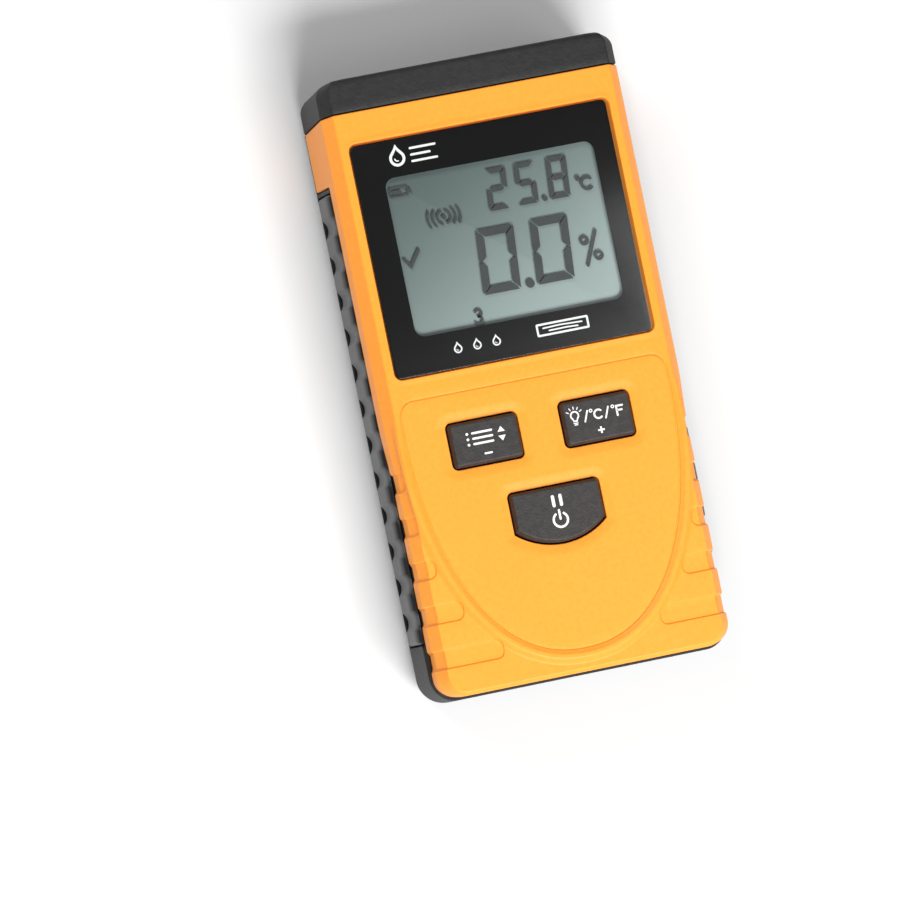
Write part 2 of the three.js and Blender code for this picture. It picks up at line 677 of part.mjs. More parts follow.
add("main_board", mainBoard(), "board");
add("mcu_chip", box([-5, 5], [-7, 3], [UNDER - 1.6, UNDER]), "chip");
add("amplifier_chip", box([7, 13], [8, 13], [UNDER - 1.5, UNDER]), "chip");
add("crystal", prism(roundedRectangle(5.5, [6.5, 11], 2.2), [UNDER - 3.5, UNDER], 2), "steel");
add("capacitor", post(20, 2, 2.5, [UNDER - 5.5, UNDER]), "chip");

const buzzerCase = post(-18.5, 11, 6, [UNDER - 4.5, UNDER], 24);
const soundHole = post(-18.5, 11, 1, [UNDER - 9, UNDER - 3], 10);
add("buzzer", buzzerCase.subtract(soundHole), "chip");

// A pan-head screw that points up, with a cross recess in its head.
function screw(x, y, headRadius, shaftRadius, [headZ, neckZ, tipZ]) {
  const profile = [
    [0, headZ],
    [headRadius * 0.75, headZ],
    [headRadius, headZ + (neckZ - headZ) * 0.45],
    [headRadius, neckZ],
    [shaftRadius, neckZ],
    [shaftRadius, tipZ - shaftRadius],
    [0, tipZ],
  ];
  const geometry = new THREE.LatheGeometry(profile.map(([r, z]) => new THREE.Vector2(r, z)), 12);
  geometry.rotateX(Math.PI / 2);
  geometry.translate(x, y, 0);
  const arm = headRadius * 0.55;
  const recessZ = [headZ - 1, headZ + RECESS_DEPTH];
  const recess = join(
    box([x - arm, x + arm], [y - RECESS_HALF_WIDTH, y + RECESS_HALF_WIDTH], recessZ),
    box([x - RECESS_HALF_WIDTH, x + RECESS_HALF_WIDTH], [y - arm, y + arm], recessZ),
  );
  return solid(geometry).subtract(recess);
}

CASE_SCREW.ys.forEach((y, row) => {
  [-1, 1].forEach((side, column) => {
    const body = screw(side * CASE_SCREW.x, y, CASE_SCREW.head, CASE_SCREW.shaft, CASE_SCREW.z);
    add(`case_screw_${2 * row + column + 1}`, body, "steel");
  });
});

BOARD_POST.ys.forEach((y, row) => {
  [-1, 1].forEach((side, column) => {
    const heights = [UNDER - BOARD_SCREW.headHeight, UNDER, BOARD_SCREW.tipZ];
    const body = screw(side * BOARD_POST.x, y, BOARD_SCREW.head, BOARD_SCREW.shaft, heights);
    add(`board_screw_${2 * row + column + 1}`, body, "steel");
  });
});

// ---------------------------------------------------------------- keys and their contacts

const KEYS = {
  select: { x: -SMALL_KEY.offsetX, y: SMALL_KEY.centreY, shape: (grow) => smallKeyOutline(-1, grow) },
  light: { x: SMALL_KEY.offsetX, y: SMALL_KEY.centreY, shape: (grow) => smallKeyOutline(1, grow) },
  hold: { x: 0, y: HOLD_PLUNGER_Y, shape: holdOutline },
};

// A key cap with a chamfered top, a flange that the cover holds back, and a plunger.
function keyCap({ x, y, shape }) {
  const cap = roundedPrism(shape(-KEY_GAP), [21.9, FACE_Z + KEY_PROUD], KEY_CHAMFER, KEY_CHAMFER, 1, 3);
  const trimmed = cap.subtract(box([-FAR, FAR], [-FAR, FAR], [0, KEY_PLUNGER.z[1]]));
  const flange = prism(shape(KEY_FLANGE.grow), KEY_FLANGE.z, 3);
  const plunger = post(x, y, KEY_PLUNGER.radius, KEY_PLUNGER.z, 12);
  return join(trimmed, flange, plunger);
}

for (const [name, key] of Object.entries(KEYS)) {
  add(`key_${name}`, keyCap(key), "key");
  add(`pill_${name}`, post(key.x, key.y, PILL.radius, PILL.z, 12), "carbon");
}

function keypadMat() {
  const sheet = prism(roundedRectangle(23.5, [-43, -6], 2), [18.95, 20], 1);
  const places = Object.values(KEYS);
  const rings = places.map(({ x, y }) => post(x, y, 4.6, [19, 21.5]));
  const wells = places.map(({ x, y }) => post(x, y, 3.2, [18, 23]));
  return cut(join(sheet, ...rings), ...wells);
}

add("keypad_mat", keypadMat(), "silicone");

// ---------------------------------------------------------------- sensing head

function sensorPad() {
  const face = roundedPrism(
    roundedRectangle(PAD.halfX, [PAD.lowY, PAD.highY], PAD.radius),
    [0, BACK_Z - 0.25],
    PAD.softening,
    PAD.softening,
    1,
  );
  const plug = box(
    [-PAD.halfX + PAD.plug, PAD.halfX - PAD.plug],
    [PAD.lowY + PAD.plug, PAD.highY - PAD.plug],
    [BACK_Z - 0.5, PAD.topZ],
  );
  return join(face, plug);
}

add("sensor_pad", sensorPad(), "black");
add("sensor_plate", box([-19, 19], [17, 47], [4, 4.4]), "copper");
add("sensor_foam", box([-13, 13], [20, 44], [4.7, 16.9]), "foam");

const sensorRoute = [
  [16.5, 30, 5.2],
  [17, 29.6, 8],
  [19, 30.5, 11.5],
  [19.6, 32, 14.5],
  [18.5, 33, 16.9],
];
const redRoute = [
  [-11.2, -11.4, 12.3],
  [-11.6, -9.8, 12.8],
  [-13, -8.8, 14.4],
  [-13.4, -8.4, 16.9],
];
const blackRoute = [
  [20.9, -64, 12.2],
  [21.6, -60, 12.2],
  [21.2, -45, 11.6],
  [20.8, -28, 12.4],
  [20.4, -16, 12.8],
  [18, -9.6, 14.2],
  [16.6, -8.6, 16.9],
];
add("sensor_lead", lead(sensorRoute, 0.6, 10), "copper");
add("lead_red", lead(redRoute, 0.6, 8), "red");
add("lead_black", lead(blackRoute, 0.6, 24), "grip");

export default meter;
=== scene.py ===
# %% [markdown]
# # A pinless wood moisture meter
#
# The meter is a yellow and black plastic case with a window, three keys, a sensing pad and a
# battery door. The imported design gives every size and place, so the first step loads it. Each
# visible part is then remade as a fine mesh, because moulded plastic is read by its small
# roundings. Lengths below are in millimetres, the unit that the maker's drawing would use, and
# turn into metres where a mesh is made.

# %% Load the frame
import math

import bpy
import numpy as np
from mathutils import Matrix, Vector
from mathutils.geometry import delaunay_2d_cdt
from mathutils.kdtree import KDTree


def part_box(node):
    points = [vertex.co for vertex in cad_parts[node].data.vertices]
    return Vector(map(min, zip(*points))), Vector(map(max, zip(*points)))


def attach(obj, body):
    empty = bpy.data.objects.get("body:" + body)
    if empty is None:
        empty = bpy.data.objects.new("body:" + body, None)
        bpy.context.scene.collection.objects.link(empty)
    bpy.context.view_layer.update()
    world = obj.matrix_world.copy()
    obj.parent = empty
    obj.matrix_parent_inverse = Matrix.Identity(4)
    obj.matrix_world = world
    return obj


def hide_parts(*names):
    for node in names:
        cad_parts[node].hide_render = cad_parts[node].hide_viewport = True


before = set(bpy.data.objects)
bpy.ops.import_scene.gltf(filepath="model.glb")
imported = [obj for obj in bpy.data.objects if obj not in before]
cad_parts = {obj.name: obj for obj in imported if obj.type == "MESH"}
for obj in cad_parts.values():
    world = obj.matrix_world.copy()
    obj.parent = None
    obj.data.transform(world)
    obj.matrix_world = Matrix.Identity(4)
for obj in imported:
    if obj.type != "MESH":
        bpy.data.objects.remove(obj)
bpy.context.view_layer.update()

MM = 0.001


def span(node):
    """A node's lowest and highest corners, in millimetres."""
    low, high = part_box(node)
    return np.array(low) / MM, np.array(high) / MM


# %% [markdown]
# ## The camera
#
# The meter lies on its back and the camera looks almost straight down on it, a little from the
# left and from the tail. A long lens keeps the sides nearly parallel. The aim is worked out from
# the direction to the camera, the roll, and the place in the picture where the window's middle
# falls, as shares of the picture's width to the right and up, so no lens shift is needed.

# %% Camera
TOWARDS_CAMERA = Vector((-0.21, -0.0576, 0.976)).normalized()
ROLL = math.radians(-11.612)
LENS = 304
SENSOR = 36
DISTANCE = 1669 * MM
WINDOW_IN_PICTURE = (0.0578889, 0.2352222)

window_low, window_high = span("display_window")
face_z = span("front_cover")[1][2]
window_middle = Vector((0, (window_low[1] + window_high[1]) / 2, face_z)) * MM

level_right = Vector((0, 1, 0)).cross(TOWARDS_CAMERA).normalized()
level_up = TOWARDS_CAMERA.cross(level_right)
right = math.cos(ROLL) * level_right + math.sin(ROLL) * level_up
up = math.cos(ROLL) * level_up - math.sin(ROLL) * level_right
across, rise = (share * SENSOR / LENS for share in WINDOW_IN_PICTURE)
forward = (-TOWARDS_CAMERA - across * right - rise * up).normalized()
right = (right - right.dot(forward) * forward).normalized()
up = right.cross(forward)

camera = bpy.data.objects.new("camera", bpy.data.cameras.new("camera"))
camera.data.lens = LENS
camera.data.sensor_width = SENSOR
camera.data.clip_end = 20
turn = Matrix((right, up, -forward)).transposed().to_4x4()
camera.matrix_world = Matrix.Translation(window_middle + TOWARDS_CAMERA * DISTANCE) @ turn
bpy.context.scene.collection.objects.link(camera)
bpy.context.scene.camera = camera
print("camera at", [round(c, 3) for c in camera.location])

# %% [markdown]
# ## The floor and the light
#
# A pale floor under a dim, even sky gives the clean look of a catalogue page. Three soft
# lamps shape the plastic. The main one stands high beyond the tail, so edges turned towards it
# are bright and the far ones fall away. A lamp to the right just enters the window's mirror
# direction, which gives the dark glass its slow gradient. A weak one fills the head end.

# %% Floor and light
def area_light(name, place, size, power, aim=(0, 0, 0.01)):
    lamp = bpy.data.lights.new(name, "AREA")
    lamp.shape = "RECTANGLE"
    lamp.size, lamp.size_y = size
    lamp.energy = power
    print(f"{name}: {power} W over {size[0]} by {size[1]} m")
    holder = bpy.data.objects.new(name, lamp)
    holder.location = place
    holder.rotation_euler = (Vector(aim) - Vector(place)).to_track_quat("-Z", "Y").to_euler()
    bpy.context.scene.collection.objects.link(holder)
    return holder


SKY = 0.16
world = bpy.data.worlds.new("studio")
world.use_nodes = True
world.node_tree.nodes["Background"].inputs["Color"].default_value = (1, 1, 1, 1)
world.node_tree.nodes["Background"].inputs["Strength"].default_value = SKY
bpy.context.scene.world = world
bpy.context.scene.view_settings.view_transform = "Standard"

area_light("tail_lamp", (0.08, -0.78, 0.95), (0.8, 0.5), 21)
area_light("side_lamp", (0.68, -0.3, 1.2), (0.5, 0.5), 2.2)
area_light("head_lamp", (-0.45, 0.75, 0.75), (0.6, 0.4), 5)

FLOOR_REACH = 3.0
floor_mesh = bpy.data.meshes.new("floor")
corners = [(-1, -1), (1, -1), (1, 1), (-1, 1)]
floor_points = [(FLOOR_REACH * x, FLOOR_REACH * y, 0) for x, y in corners]
floor_mesh.from_pydata(floor_points, [], [(0, 1, 2, 3)])
floor = bpy.data.objects.new("floor", floor_mesh)
bpy.context.scene.collection.objects.link(floor)
print("floor reaches", FLOOR_REACH, "m; sky", SKY)

# %% [markdown]
# ## Shader maths as Python
#
# A material is a graph of nodes. Writing it as wiring hides the idea, so one small class wraps
# an output socket: arithmetic on it adds Math nodes, and its one other method adds any other
# node. A finish then reads as the formula that it is.

# %% A socket that does arithmetic
class Sock:
    """An output socket of a material's nodes. Arithmetic on it adds Math nodes."""

    def __init__(self, socket):
        self.socket = socket

    def node(self, kind, settings=None, inputs=None, output=0):
        """Any node: its type, its settings, then the values or links of its sockets."""
        made = self.socket.id_data.nodes.new(kind)
        for key, value in (settings or {}).items():
            setattr(made, key, value)
        for key, value in (inputs or {}).items():
            if isinstance(value, Sock):
                self.socket.id_data.links.new(value.socket, made.inputs[key])
            else:
                made.inputs[key].default_value = value
        return Sock(made.outputs[output])

    def maths(self, operation, *values):
        return self.node("ShaderNodeMath", {"operation": operation}, dict(enumerate(values)))

    def __add__(self, other):
        return self.maths("ADD", self, other)

    def __mul__(self, other):
        return self.maths("MULTIPLY", self, other)

    def __sub__(self, other):
        return self.maths("SUBTRACT", self, other)

    def __rsub__(self, other):
        return self.maths("SUBTRACT", other, self)

    def __truediv__(self, other):
        return self.maths("DIVIDE", self, other)

    __radd__ = __add__
    __rmul__ = __mul__


def mixed(share, first, second):
    """One colour turning into another as share goes from 0 to 1."""
    colours = {6: first, 7: second, 0: share}
    return share.node("ShaderNodeMix", {"data_type": "RGBA"}, colours, output=2)


def smooth_step(value, start, end):
    """A share that eases from 0 to 1 as the value goes from start to end."""
    settings = {"interpolation_type": "SMOOTHSTEP"}
    inputs = {"Value": value, "From Min": start, "From Max": end}
    return value.node("ShaderNodeMapRange", settings, inputs)


def colour(red, green, blue):
    """A colour as seen on a screen, from 0 to 255, as the linear light that shaders use."""
    shares = (red / 255, green / 255, blue / 255)
    linear = [c / 12.92 if c <= 0.04045 else ((c + 0.055) / 1.055) ** 2.4 for c in shares]
    return (*linear, 1)


def finish(name, **fixed):
    """A new material: its Principled shader with fixed values, and the place on the object."""
    made = bpy.data.materials.new(name)
    made.use_nodes = True
    shader = made.node_tree.nodes["Principled BSDF"]
    for key, value in fixed.items():
        shader.inputs[key.replace("_", " ")].default_value = value
    coordinates = made.node_tree.nodes.new("ShaderNodeTexCoord")
    return made, shader, Sock(coordinates.outputs["Object"])


def connect(shader, **varying):
    """Links from what varies over the surface to the shader's sockets of those names."""
    for key, value in varying.items():
        shader.id_data.links.new(value.socket, shader.inputs[key.replace("_", " ")])


def noise(place, scale, detail=2, roughness=0.5):
    """Cloudy noise from 0 to 1; scale is how many clouds lie along a metre."""
    inputs = {"Vector": place, "Scale": scale, "Detail": detail, "Roughness": roughness}
    return place.node("ShaderNodeTexNoise", {}, inputs)


def bump(height, depth, strength=1.0):
    """Small relief of a depth in millimetres, where height runs from 0 to 1."""
    inputs = {"Height": height, "Distance": depth * MM, "Strength": strength}
    return height.node("ShaderNodeBump", {}, inputs)


print("a middle grey of 128 on a screen is a linear", round(colour(128, 128, 128)[0], 3))

# %% [markdown]
# ## The finishes of the outer case
#
# The case is ABS with a spark-eroded satin skin: an even colour, a fine grain that breaks up the
# highlight, and roughness that drifts a little where hands have polished it. Two scales of noise
# give that, one of about a third of a millimetre for the grain and one of a few centimetres for
# the drift. The black mouldings have a coarser grain, as soft-touch tools are etched deeper.

# %% Case finishes
def moulded(name, base, variation, rough, grain, depth, drift=22, **fixed):
    """Moulded plastic: a base colour with a slightly different one drifting through it."""
    made, shader, place = finish(name, **fixed)
    clouds = noise(place, drift, 3)
    fine = noise(place, grain, 3, 0.6)
    speck = smooth_step(noise(place, grain * 0.4, 1), 0.35, 0.65)
    connect(
        shader,
        Base_Color=mixed(clouds * 0.6 + speck * 0.4, base, variation),
        Roughness=rough + (clouds - 0.5) * 0.12 + (fine - 0.5) * 0.08,
        Normal=bump(fine, depth),
    )
    return made


yellow_shell = moulded(
    "yellow_shell", colour(255, 154, 50), colour(255, 162, 61),
    rough=0.43, grain=2400, depth=0.010, Specular_IOR_Level=0.22,
)
black_shell = moulded(
    "black_shell", colour(23, 23, 24), colour(36, 36, 36),
    rough=0.58, grain=1500, depth=0.1, Specular_IOR_Level=0.4,
)
grip_rubber = moulded(
    "grip_rubber", colour(26, 26, 28), colour(34, 34, 36), rough=0.34, grain=1500, depth=0.012
)
key_plastic = moulded(
    "key_plastic", colour(33, 30, 30), colour(56, 51, 51), rough=0.6, grain=2100, depth=0.09
)
print("case finishes:", yellow_shell.name, black_shell.name, grip_rubber.name, key_plastic.name)

# %% [markdown]
# ## Outlines
#
# Nearly every edge on the meter is a polygon with rounded corners, so a corner is written as
# x, y and a radius. The same few helpers round it, move it in or out by a distance, space its
# points evenly, and say how far any point lies from it.

# %% Outline helpers
def rounded(corners, steps=6):
    """Points round a polygon given as [x, y, radius] corners, anticlockwise, with arcs."""
    points = []
    count = len(corners)
    for i, (x, y, radius) in enumerate(corners):
        corner = np.array([x, y], float)
        before = corner - np.array(corners[i - 1][:2])
        after = np.array(corners[(i + 1) % count][:2]) - corner
        before /= np.hypot(*before)
        after /= np.hypot(*after)
        turn = math.atan2(before[0] * after[1] - before[1] * after[0], before @ after)
        if radius <= 0 or abs(turn) < 1e-6:
            points.append(corner)
            continue
        start = corner - before * radius * math.tan(abs(turn) / 2)
        side = math.copysign(radius, turn)
        centre = start + side * np.array([-before[1], before[0]])
        first = math.atan2(*(start - centre)[::-1])
        for k in range(steps + 1):
            angle = first + turn * k / steps
            points.append(centre + radius * np.array([math.cos(angle), math.sin(angle)]))
    return np.array(points)


def moved_in(corners, distance):
    """The same corners with every side moved inwards, and each radius changed to suit."""
    count = len(corners)
    moved = []
    for i, (x, y, radius) in enumerate(corners):
        before = np.array([x, y]) - np.array(corners[i - 1][:2])
        after = np.array(corners[(i + 1) % count][:2]) - np.array([x, y])
        before, after = before / np.hypot(*before), after / np.hypot(*after)
        inward = np.array([-before[1] - after[1], before[0] + after[0]])
        shift = inward * distance / (1 + before @ after)
        convex = before[0] * after[1] - before[1] * after[0] > 0
        new_radius = max(radius - distance if convex else radius + distance, 0) if radius else 0
        moved.append([x + shift[0], y + shift[1], new_radius])
    return moved


def rectangle(low, high, radius):
    """Rounded corners of a rectangle from its low to its high corner."""
    (x0, y0), (x1, y1) = low[:2], high[:2]
    return [[x0, y0, radius], [x1, y0, radius], [x1, y1, radius], [x0, y1, radius]]


def spaced(points, step, closed=True):
    """The same line with points no further apart than step."""
    ends = np.roll(points, -1, 0) if closed else points[1:]
    starts = points if closed else points[:-1]
    pieces = []
    for a, b in zip(starts, ends):
        count = max(1, math.ceil(np.hypot(*(b - a)) / step))
        pieces.append(a + (b - a) * np.arange(count)[:, None] / count)
    return np.concatenate(pieces if closed else [*pieces, points[-1:]])


def distance_to(line, x, y, closed=True):
    """How far each point lies from a line of points."""
    spot = np.stack([x, y], -1)
    best = np.full(x.shape, np.inf)
    ends = np.roll(line, -1, 0) if closed else line[1:]
    for a, b in zip(line, ends):
        run = b - a
        share = np.clip((spot - a) @ run / (run @ run), 0, 1)
        best = np.minimum(best, np.hypot(*(spot - a - share[:, None] * run).T))
    return best


def inside(line, x, y):
    """Which points lie inside a closed line."""
    found = np.zeros(x.shape, bool)
    for (ax, ay), (bx, by) in zip(line, np.roll(line, -1, 0)):
        if ay != by:
            crosses = (ay > y) != (by > y)
            found ^= crosses & (x < ax + (bx - ax) * (y - ay) / (by - ay))
    return found


def box_distance(x, y, middle, half, radius):
    """Signed distance to a rounded rectangle, negative inside."""
    qx = np.abs(x - middle[0]) - half[0] + radius
    qy = np.abs(y - middle[1]) - half[1] + radius
    return np.hypot(np.maximum(qx, 0), np.maximum(qy, 0)) + np.minimum(np.maximum(qx, qy), 0) - radius


def smooth(start, end, value):
    """A share that eases from 0 to 1 as the value goes from start to end."""
    share = np.clip((value - start) / (end - start), 0, 1)
    return share * share * (3 - 2 * share)


print("a rounded square has", len(rounded(rectangle((0, 0), (1, 1), 0.2))), "points")

# %% [markdown]
# ## Meshes
#
# Two ways of making a mesh cover the whole meter. Most small pieces are lofts: closed outlines
# stacked in rings and joined by strips. The covers are sheets: a flat pattern is filled with
# triangles that follow every feature line, folded into shape, and given a second, inner skin.

# %% Mesh helpers
def piece(name, points, faces, material, slot, body="housing", sharp=38):
    """A mesh object from millimetre points; edges turned by more than sharp degrees stay sharp."""
    mesh = bpy.data.meshes.new(name)
    mesh.from_pydata((np.asarray(points) * MM).tolist(), [], faces)
    mesh.validate()
    mesh.shade_smooth()
    mesh.set_sharp_from_angle(angle=math.radians(sharp))
    mesh.materials.append(material)
    made = bpy.data.objects.new(name, mesh)
    bpy.context.scene.collection.objects.link(made)
    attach(made, body)
    print(f"{name}: {len(mesh.polygons)} faces")
    return made


def loft_parts(rings, close_start=True, close_end=True):
    """Points and faces of a skin through rings that all have the same number of points."""
    rings = [np.asarray(ring, float) for ring in rings]
    count = len(rings[0])
    points = list(np.concatenate(rings))
    faces = []
    for k in range(len(rings) - 1):
        for i in range(count):
            j = (i + 1) % count
            a, b = k * count, (k + 1) * count
            faces.append((a + i, a + j, b + j, b + i))
    if close_start:
        faces.append(tuple(range(count - 1, -1, -1)))
    if close_end:
        last = (len(rings) - 1) * count
        faces.append(tuple(range(last, last + count)))
    return points, faces


def together(*parts):
    """Several sets of points and faces as one set."""
    points, faces = [], []
    for some_points, some_faces in parts:
        start = len(points)
        points.extend(some_points)
        faces.extend(tuple(start + i for i in face) for face in some_faces)
    return points, faces


def level(outline, z):
    """An outline laid flat at a height."""
    return np.column_stack([outline, np.full(len(outline), float(z))])


def slab(corners, z0, z1, edge=0.15, steps=6, edge_top=None):
    """A plate with rounded corners and eased edges, as points and faces."""
    edge_top = edge if edge_top is None else edge_top
    turns = (0, math.pi / 4, math.pi / 2)
    drawn = [(edge * (1 - math.sin(turn)), z0 + edge * (1 - math.cos(turn))) for turn in turns]
    drawn += [
        (edge_top * (1 - math.sin(turn)), z1 - edge_top * (1 - math.cos(turn)))
        for turn in turns[::-1]
    ]
    return loft_parts([level(rounded(moved_in(corners, inset), steps), z) for inset, z in drawn])


def fill(boundary, holes, lines, spacing):
    """Flat triangles inside a boundary that follow its holes and feature lines."""
    points, edges = [], []
    loops = [(boundary, True), *((hole, True) for hole in holes), *lines]
    for line, closed in loops:
        start = len(points)
        points.extend(line)
        edges.extend((start + i, start + i + 1) for i in range(len(line) - 1))
        if closed:
            edges.append((start + len(line) - 1, start))
    tree = KDTree(len(points))
    for i, (x, y) in enumerate(points):
        tree.insert((x, y, 0), i)
    tree.balance()
    low, high = boundary.min(0), boundary.max(0)
    rows = np.arange(low[1] + spacing / 2, high[1], spacing * 0.87)
    for k, y in enumerate(rows):
        for x in np.arange(low[0] + spacing * (0.25 + 0.5 * (k % 2)), high[0], spacing):
            if tree.find((x, y, 0))[2] > 0.45 * spacing:
                points.append((x, y))
    flat, _, faces, *_ = delaunay_2d_cdt([Vector(p) for p in points], edges, [], 0, 1e-5)
    flat, faces = np.array(flat), np.array(faces)
    middle = flat[faces].mean(1)
    kept = inside(boundary, *middle.T)
    for hole in holes:
        kept &= ~inside(hole, *middle.T)
    faces = faces[kept]
    used, faces = np.unique(faces, return_inverse=True)
    return flat[used], faces.reshape(-1, 3)


def rim_edges(faces):
    """The directed edges that only one triangle uses."""
    directed = {(f[i], f[(i + 1) % 3]) for f in faces.tolist() for i in range(3)}
    return [(a, b) for a, b in directed if (b, a) not in directed]


def folded_sheet(name, flat, faces, outer, inner, material, body="housing"):
    """A solid wall: the pattern's outer skin, its inner skin, and walls round every edge."""
    step = 0.02
    x, y = flat.T
    top = outer(x, y)
    along = outer(x + step, y) - outer(x - step, y)
    across = outer(x, y + step) - outer(x, y - step)
    normals = np.cross(along, across)
    turned = outer.turned
    normals *= turned / np.linalg.norm(normals, axis=1)[:, None]
    low = inner(x, y)
    count = len(flat)
    order = faces if turned > 0 else faces[:, ::-1]
    walls = [(a, a + count, b + count, b) for a, b in sorted(rim_edges(order))]
    skins = np.concatenate([order, order[:, ::-1] + count])
    everything = [*map(tuple, skins.tolist()), *walls]
    mesh = bpy.data.meshes.new(name)
    mesh.from_pydata((np.concatenate([top, low]) * MM).tolist(), [], everything)
    sharp = np.zeros(len(everything), bool)
    sharp[2 * len(order):] = True
    mesh.attributes.new("sharp_face", "BOOLEAN", "FACE").data.foreach_set("value", sharp)
    loops = np.zeros((3 * len(order) * 2 + 4 * len(walls), 3))
    loops[: 3 * len(order)] = normals[order.ravel()]
    mesh.normals_split_custom_set(loops.tolist())
    mesh.materials.append(material)
    made = bpy.data.objects.new(name, mesh)
    bpy.context.scene.collection.objects.link(made)
    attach(made, body)
    print(f"{name}: {len(everything)} faces")
    return made


# %% [markdown]
# ## The section of the case
#
# Seen from the end, the case has a flat face, a bevel down each long side, side walls with a
# little draft so that they leave the mould, and a rounded back edge. The tail has only a small
# rounding. An edge profile is a bent line with a radius at each bend, and the flat pattern is
# folded over it, so distances along the surface stay true and features keep their size.

# %% Fold of the case
WALL = 2.2
GAP = 0.3
BEVEL_WIDTH, BEVEL_DEPTH, DRAFT = 2.3, 3.5, 0.6
CREASE_RADIUS, BEVEL_FOOT_RADIUS = 0.7, 0.9
TAIL_EDGE = 1.1
BACK_EDGE_WIDTH, BACK_EDGE_DEPTH = 2.9, 5
TAIL_CORNER = 6
FLAT_RUN = 3

cover_low, cover_high = span("front_cover")
_, back_high = span("back_cover")
half_x = cover_high[0]
tail_y = -cover_low[1]
head_y = span("head_cap")[1][1]
split_z = back_high[2] + GAP / 2
skirt_z = cover_low[2] - GAP / 2
back_z = 1.2
wall_run = face_z - back_z - BEVEL_DEPTH - BACK_EDGE_DEPTH


def bent(knots, corners, radii):
    """A profile: out and down for a distance s over a bent line with a radius at each bend."""
    knots, corners = np.array(knots, float), np.array(corners, float)

    def profile(s):
        point = np.stack([np.interp(s, knots, corners[:, i]) for i in (0, 1)], -1)
        point[..., 0] = np.where(s < knots[0], s - knots[0] + corners[0, 0], point[..., 0])
        for k, radius in enumerate(radii, 1):
            before, after = corners[k] - corners[k - 1], corners[k + 1] - corners[k]
            reach_in, reach_out = np.hypot(*before), np.hypot(*after)
            start, end = math.atan2(*before[::-1]), math.atan2(*after[::-1])
            tangent = radius * math.tan((end - start) / 2)
            away = s - knots[k]
            pace_in = reach_in / (knots[k] - knots[k - 1])
            pace_out = reach_out / (knots[k + 1] - knots[k])
            share = np.where(away < 0, away * pace_in, away * pace_out) / tangent
            angle = start + (np.clip(share, -1, 1) + 1) / 2 * (end - start)
            centre = corners[k] - tangent * before / reach_in
            centre = centre + radius * np.array([-math.sin(start), math.cos(start)])
            arc = centre + radius * np.stack([np.sin(angle), -np.cos(angle)], -1)
            point = np.where((np.abs(share) < 1)[..., None], arc, point)
        return point

    return profile


bevel_run = math.hypot(BEVEL_WIDTH, BEVEL_DEPTH)
wall_end = bevel_run + math.hypot(DRAFT, wall_run + BACK_EDGE_DEPTH)
front_knots = [-FLAT_RUN, 0, bevel_run, wall_end]
wall_x = BEVEL_WIDTH + DRAFT
wall_down = face_z - back_z
front_side = bent(
    front_knots,
    [(-FLAT_RUN, 0), (0, 0), (BEVEL_WIDTH, BEVEL_DEPTH), (wall_x, wall_down)],
    [CREASE_RADIUS, BEVEL_FOOT_RADIUS],
)


def down_to(profile, depth):
    """The pattern distance at which an edge profile has dropped by depth."""
    s = np.linspace(0, 40, 4001)
    return float(np.interp(depth, profile(s)[:, 1], s))


rim_down = face_z - split_z - GAP / 2
front_low_s = down_to(front_side, rim_down)


def tail_knots(wall_start):
    """Pattern distances for the tail, whose wall then ends level with the side walls."""
    full, short = wall_down - wall_start, rim_down - wall_start
    foot = (front_low_s * full - short * wall_end) / (full - short)
    return [-FLAT_RUN, 0, foot, wall_end]


front_tail = bent(
    tail_knots(TAIL_EDGE),
    [(-FLAT_RUN, 0), (0, 0), (TAIL_EDGE, TAIL_EDGE), (TAIL_EDGE, wall_down)],
    [1.2, 1.2],
)
front_side_inner = bent(
    front_knots,
    [
        (-FLAT_RUN, WALL), (-1.2, WALL),
        (BEVEL_WIDTH - WALL, BEVEL_DEPTH + 0.7), (wall_x - WALL, wall_down),
    ],
    [],
)
front_tail_inner = bent(
    tail_knots(WALL + 0.4),
    [
        (-FLAT_RUN, WALL), (TAIL_EDGE - WALL - 0.4, WALL),
        (TAIL_EDGE - WALL, WALL + 0.4), (TAIL_EDGE - WALL, wall_down),
    ],
    [],
)


def elliptic(width, depth, start_out, start_down, reach, steps=10):
    """A profile with a quarter ellipse from the flat into a wall that runs on with draft."""
    angles = np.linspace(0, math.pi / 2, steps + 1)
    quarter = np.stack([np.sin(angles), 1 - np.cos(angles)], 1)
    arc = quarter * (width, depth) + (start_out, start_down)
    outer_arc = quarter * (BACK_EDGE_WIDTH, BACK_EDGE_DEPTH)
    run = np.concatenate([[0], np.cumsum(np.hypot(*np.diff(outer_arc, axis=0).T))])
    line = [(-FLAT_RUN, start_down), *arc, (arc[-1][0] - reach, face_z - BEVEL_DEPTH - back_z)]
    return bent([-FLAT_RUN, *run, run[-1] + wall_run], line, []), run[-1]


back_side, back_arc_run = elliptic(BACK_EDGE_WIDTH, BACK_EDGE_DEPTH, 0, 0, DRAFT)
back_tail, _ = elliptic(BACK_EDGE_WIDTH, BACK_EDGE_DEPTH, 0, 0, 0)
INNER_START = -1.0
inner_width, inner_depth = BACK_EDGE_WIDTH - WALL - INNER_START, BACK_EDGE_DEPTH - WALL
back_side_inner, _ = elliptic(inner_width, inner_depth, INNER_START, WALL, DRAFT)
back_tail_inner, _ = elliptic(inner_width, inner_depth, INNER_START, WALL, 0)


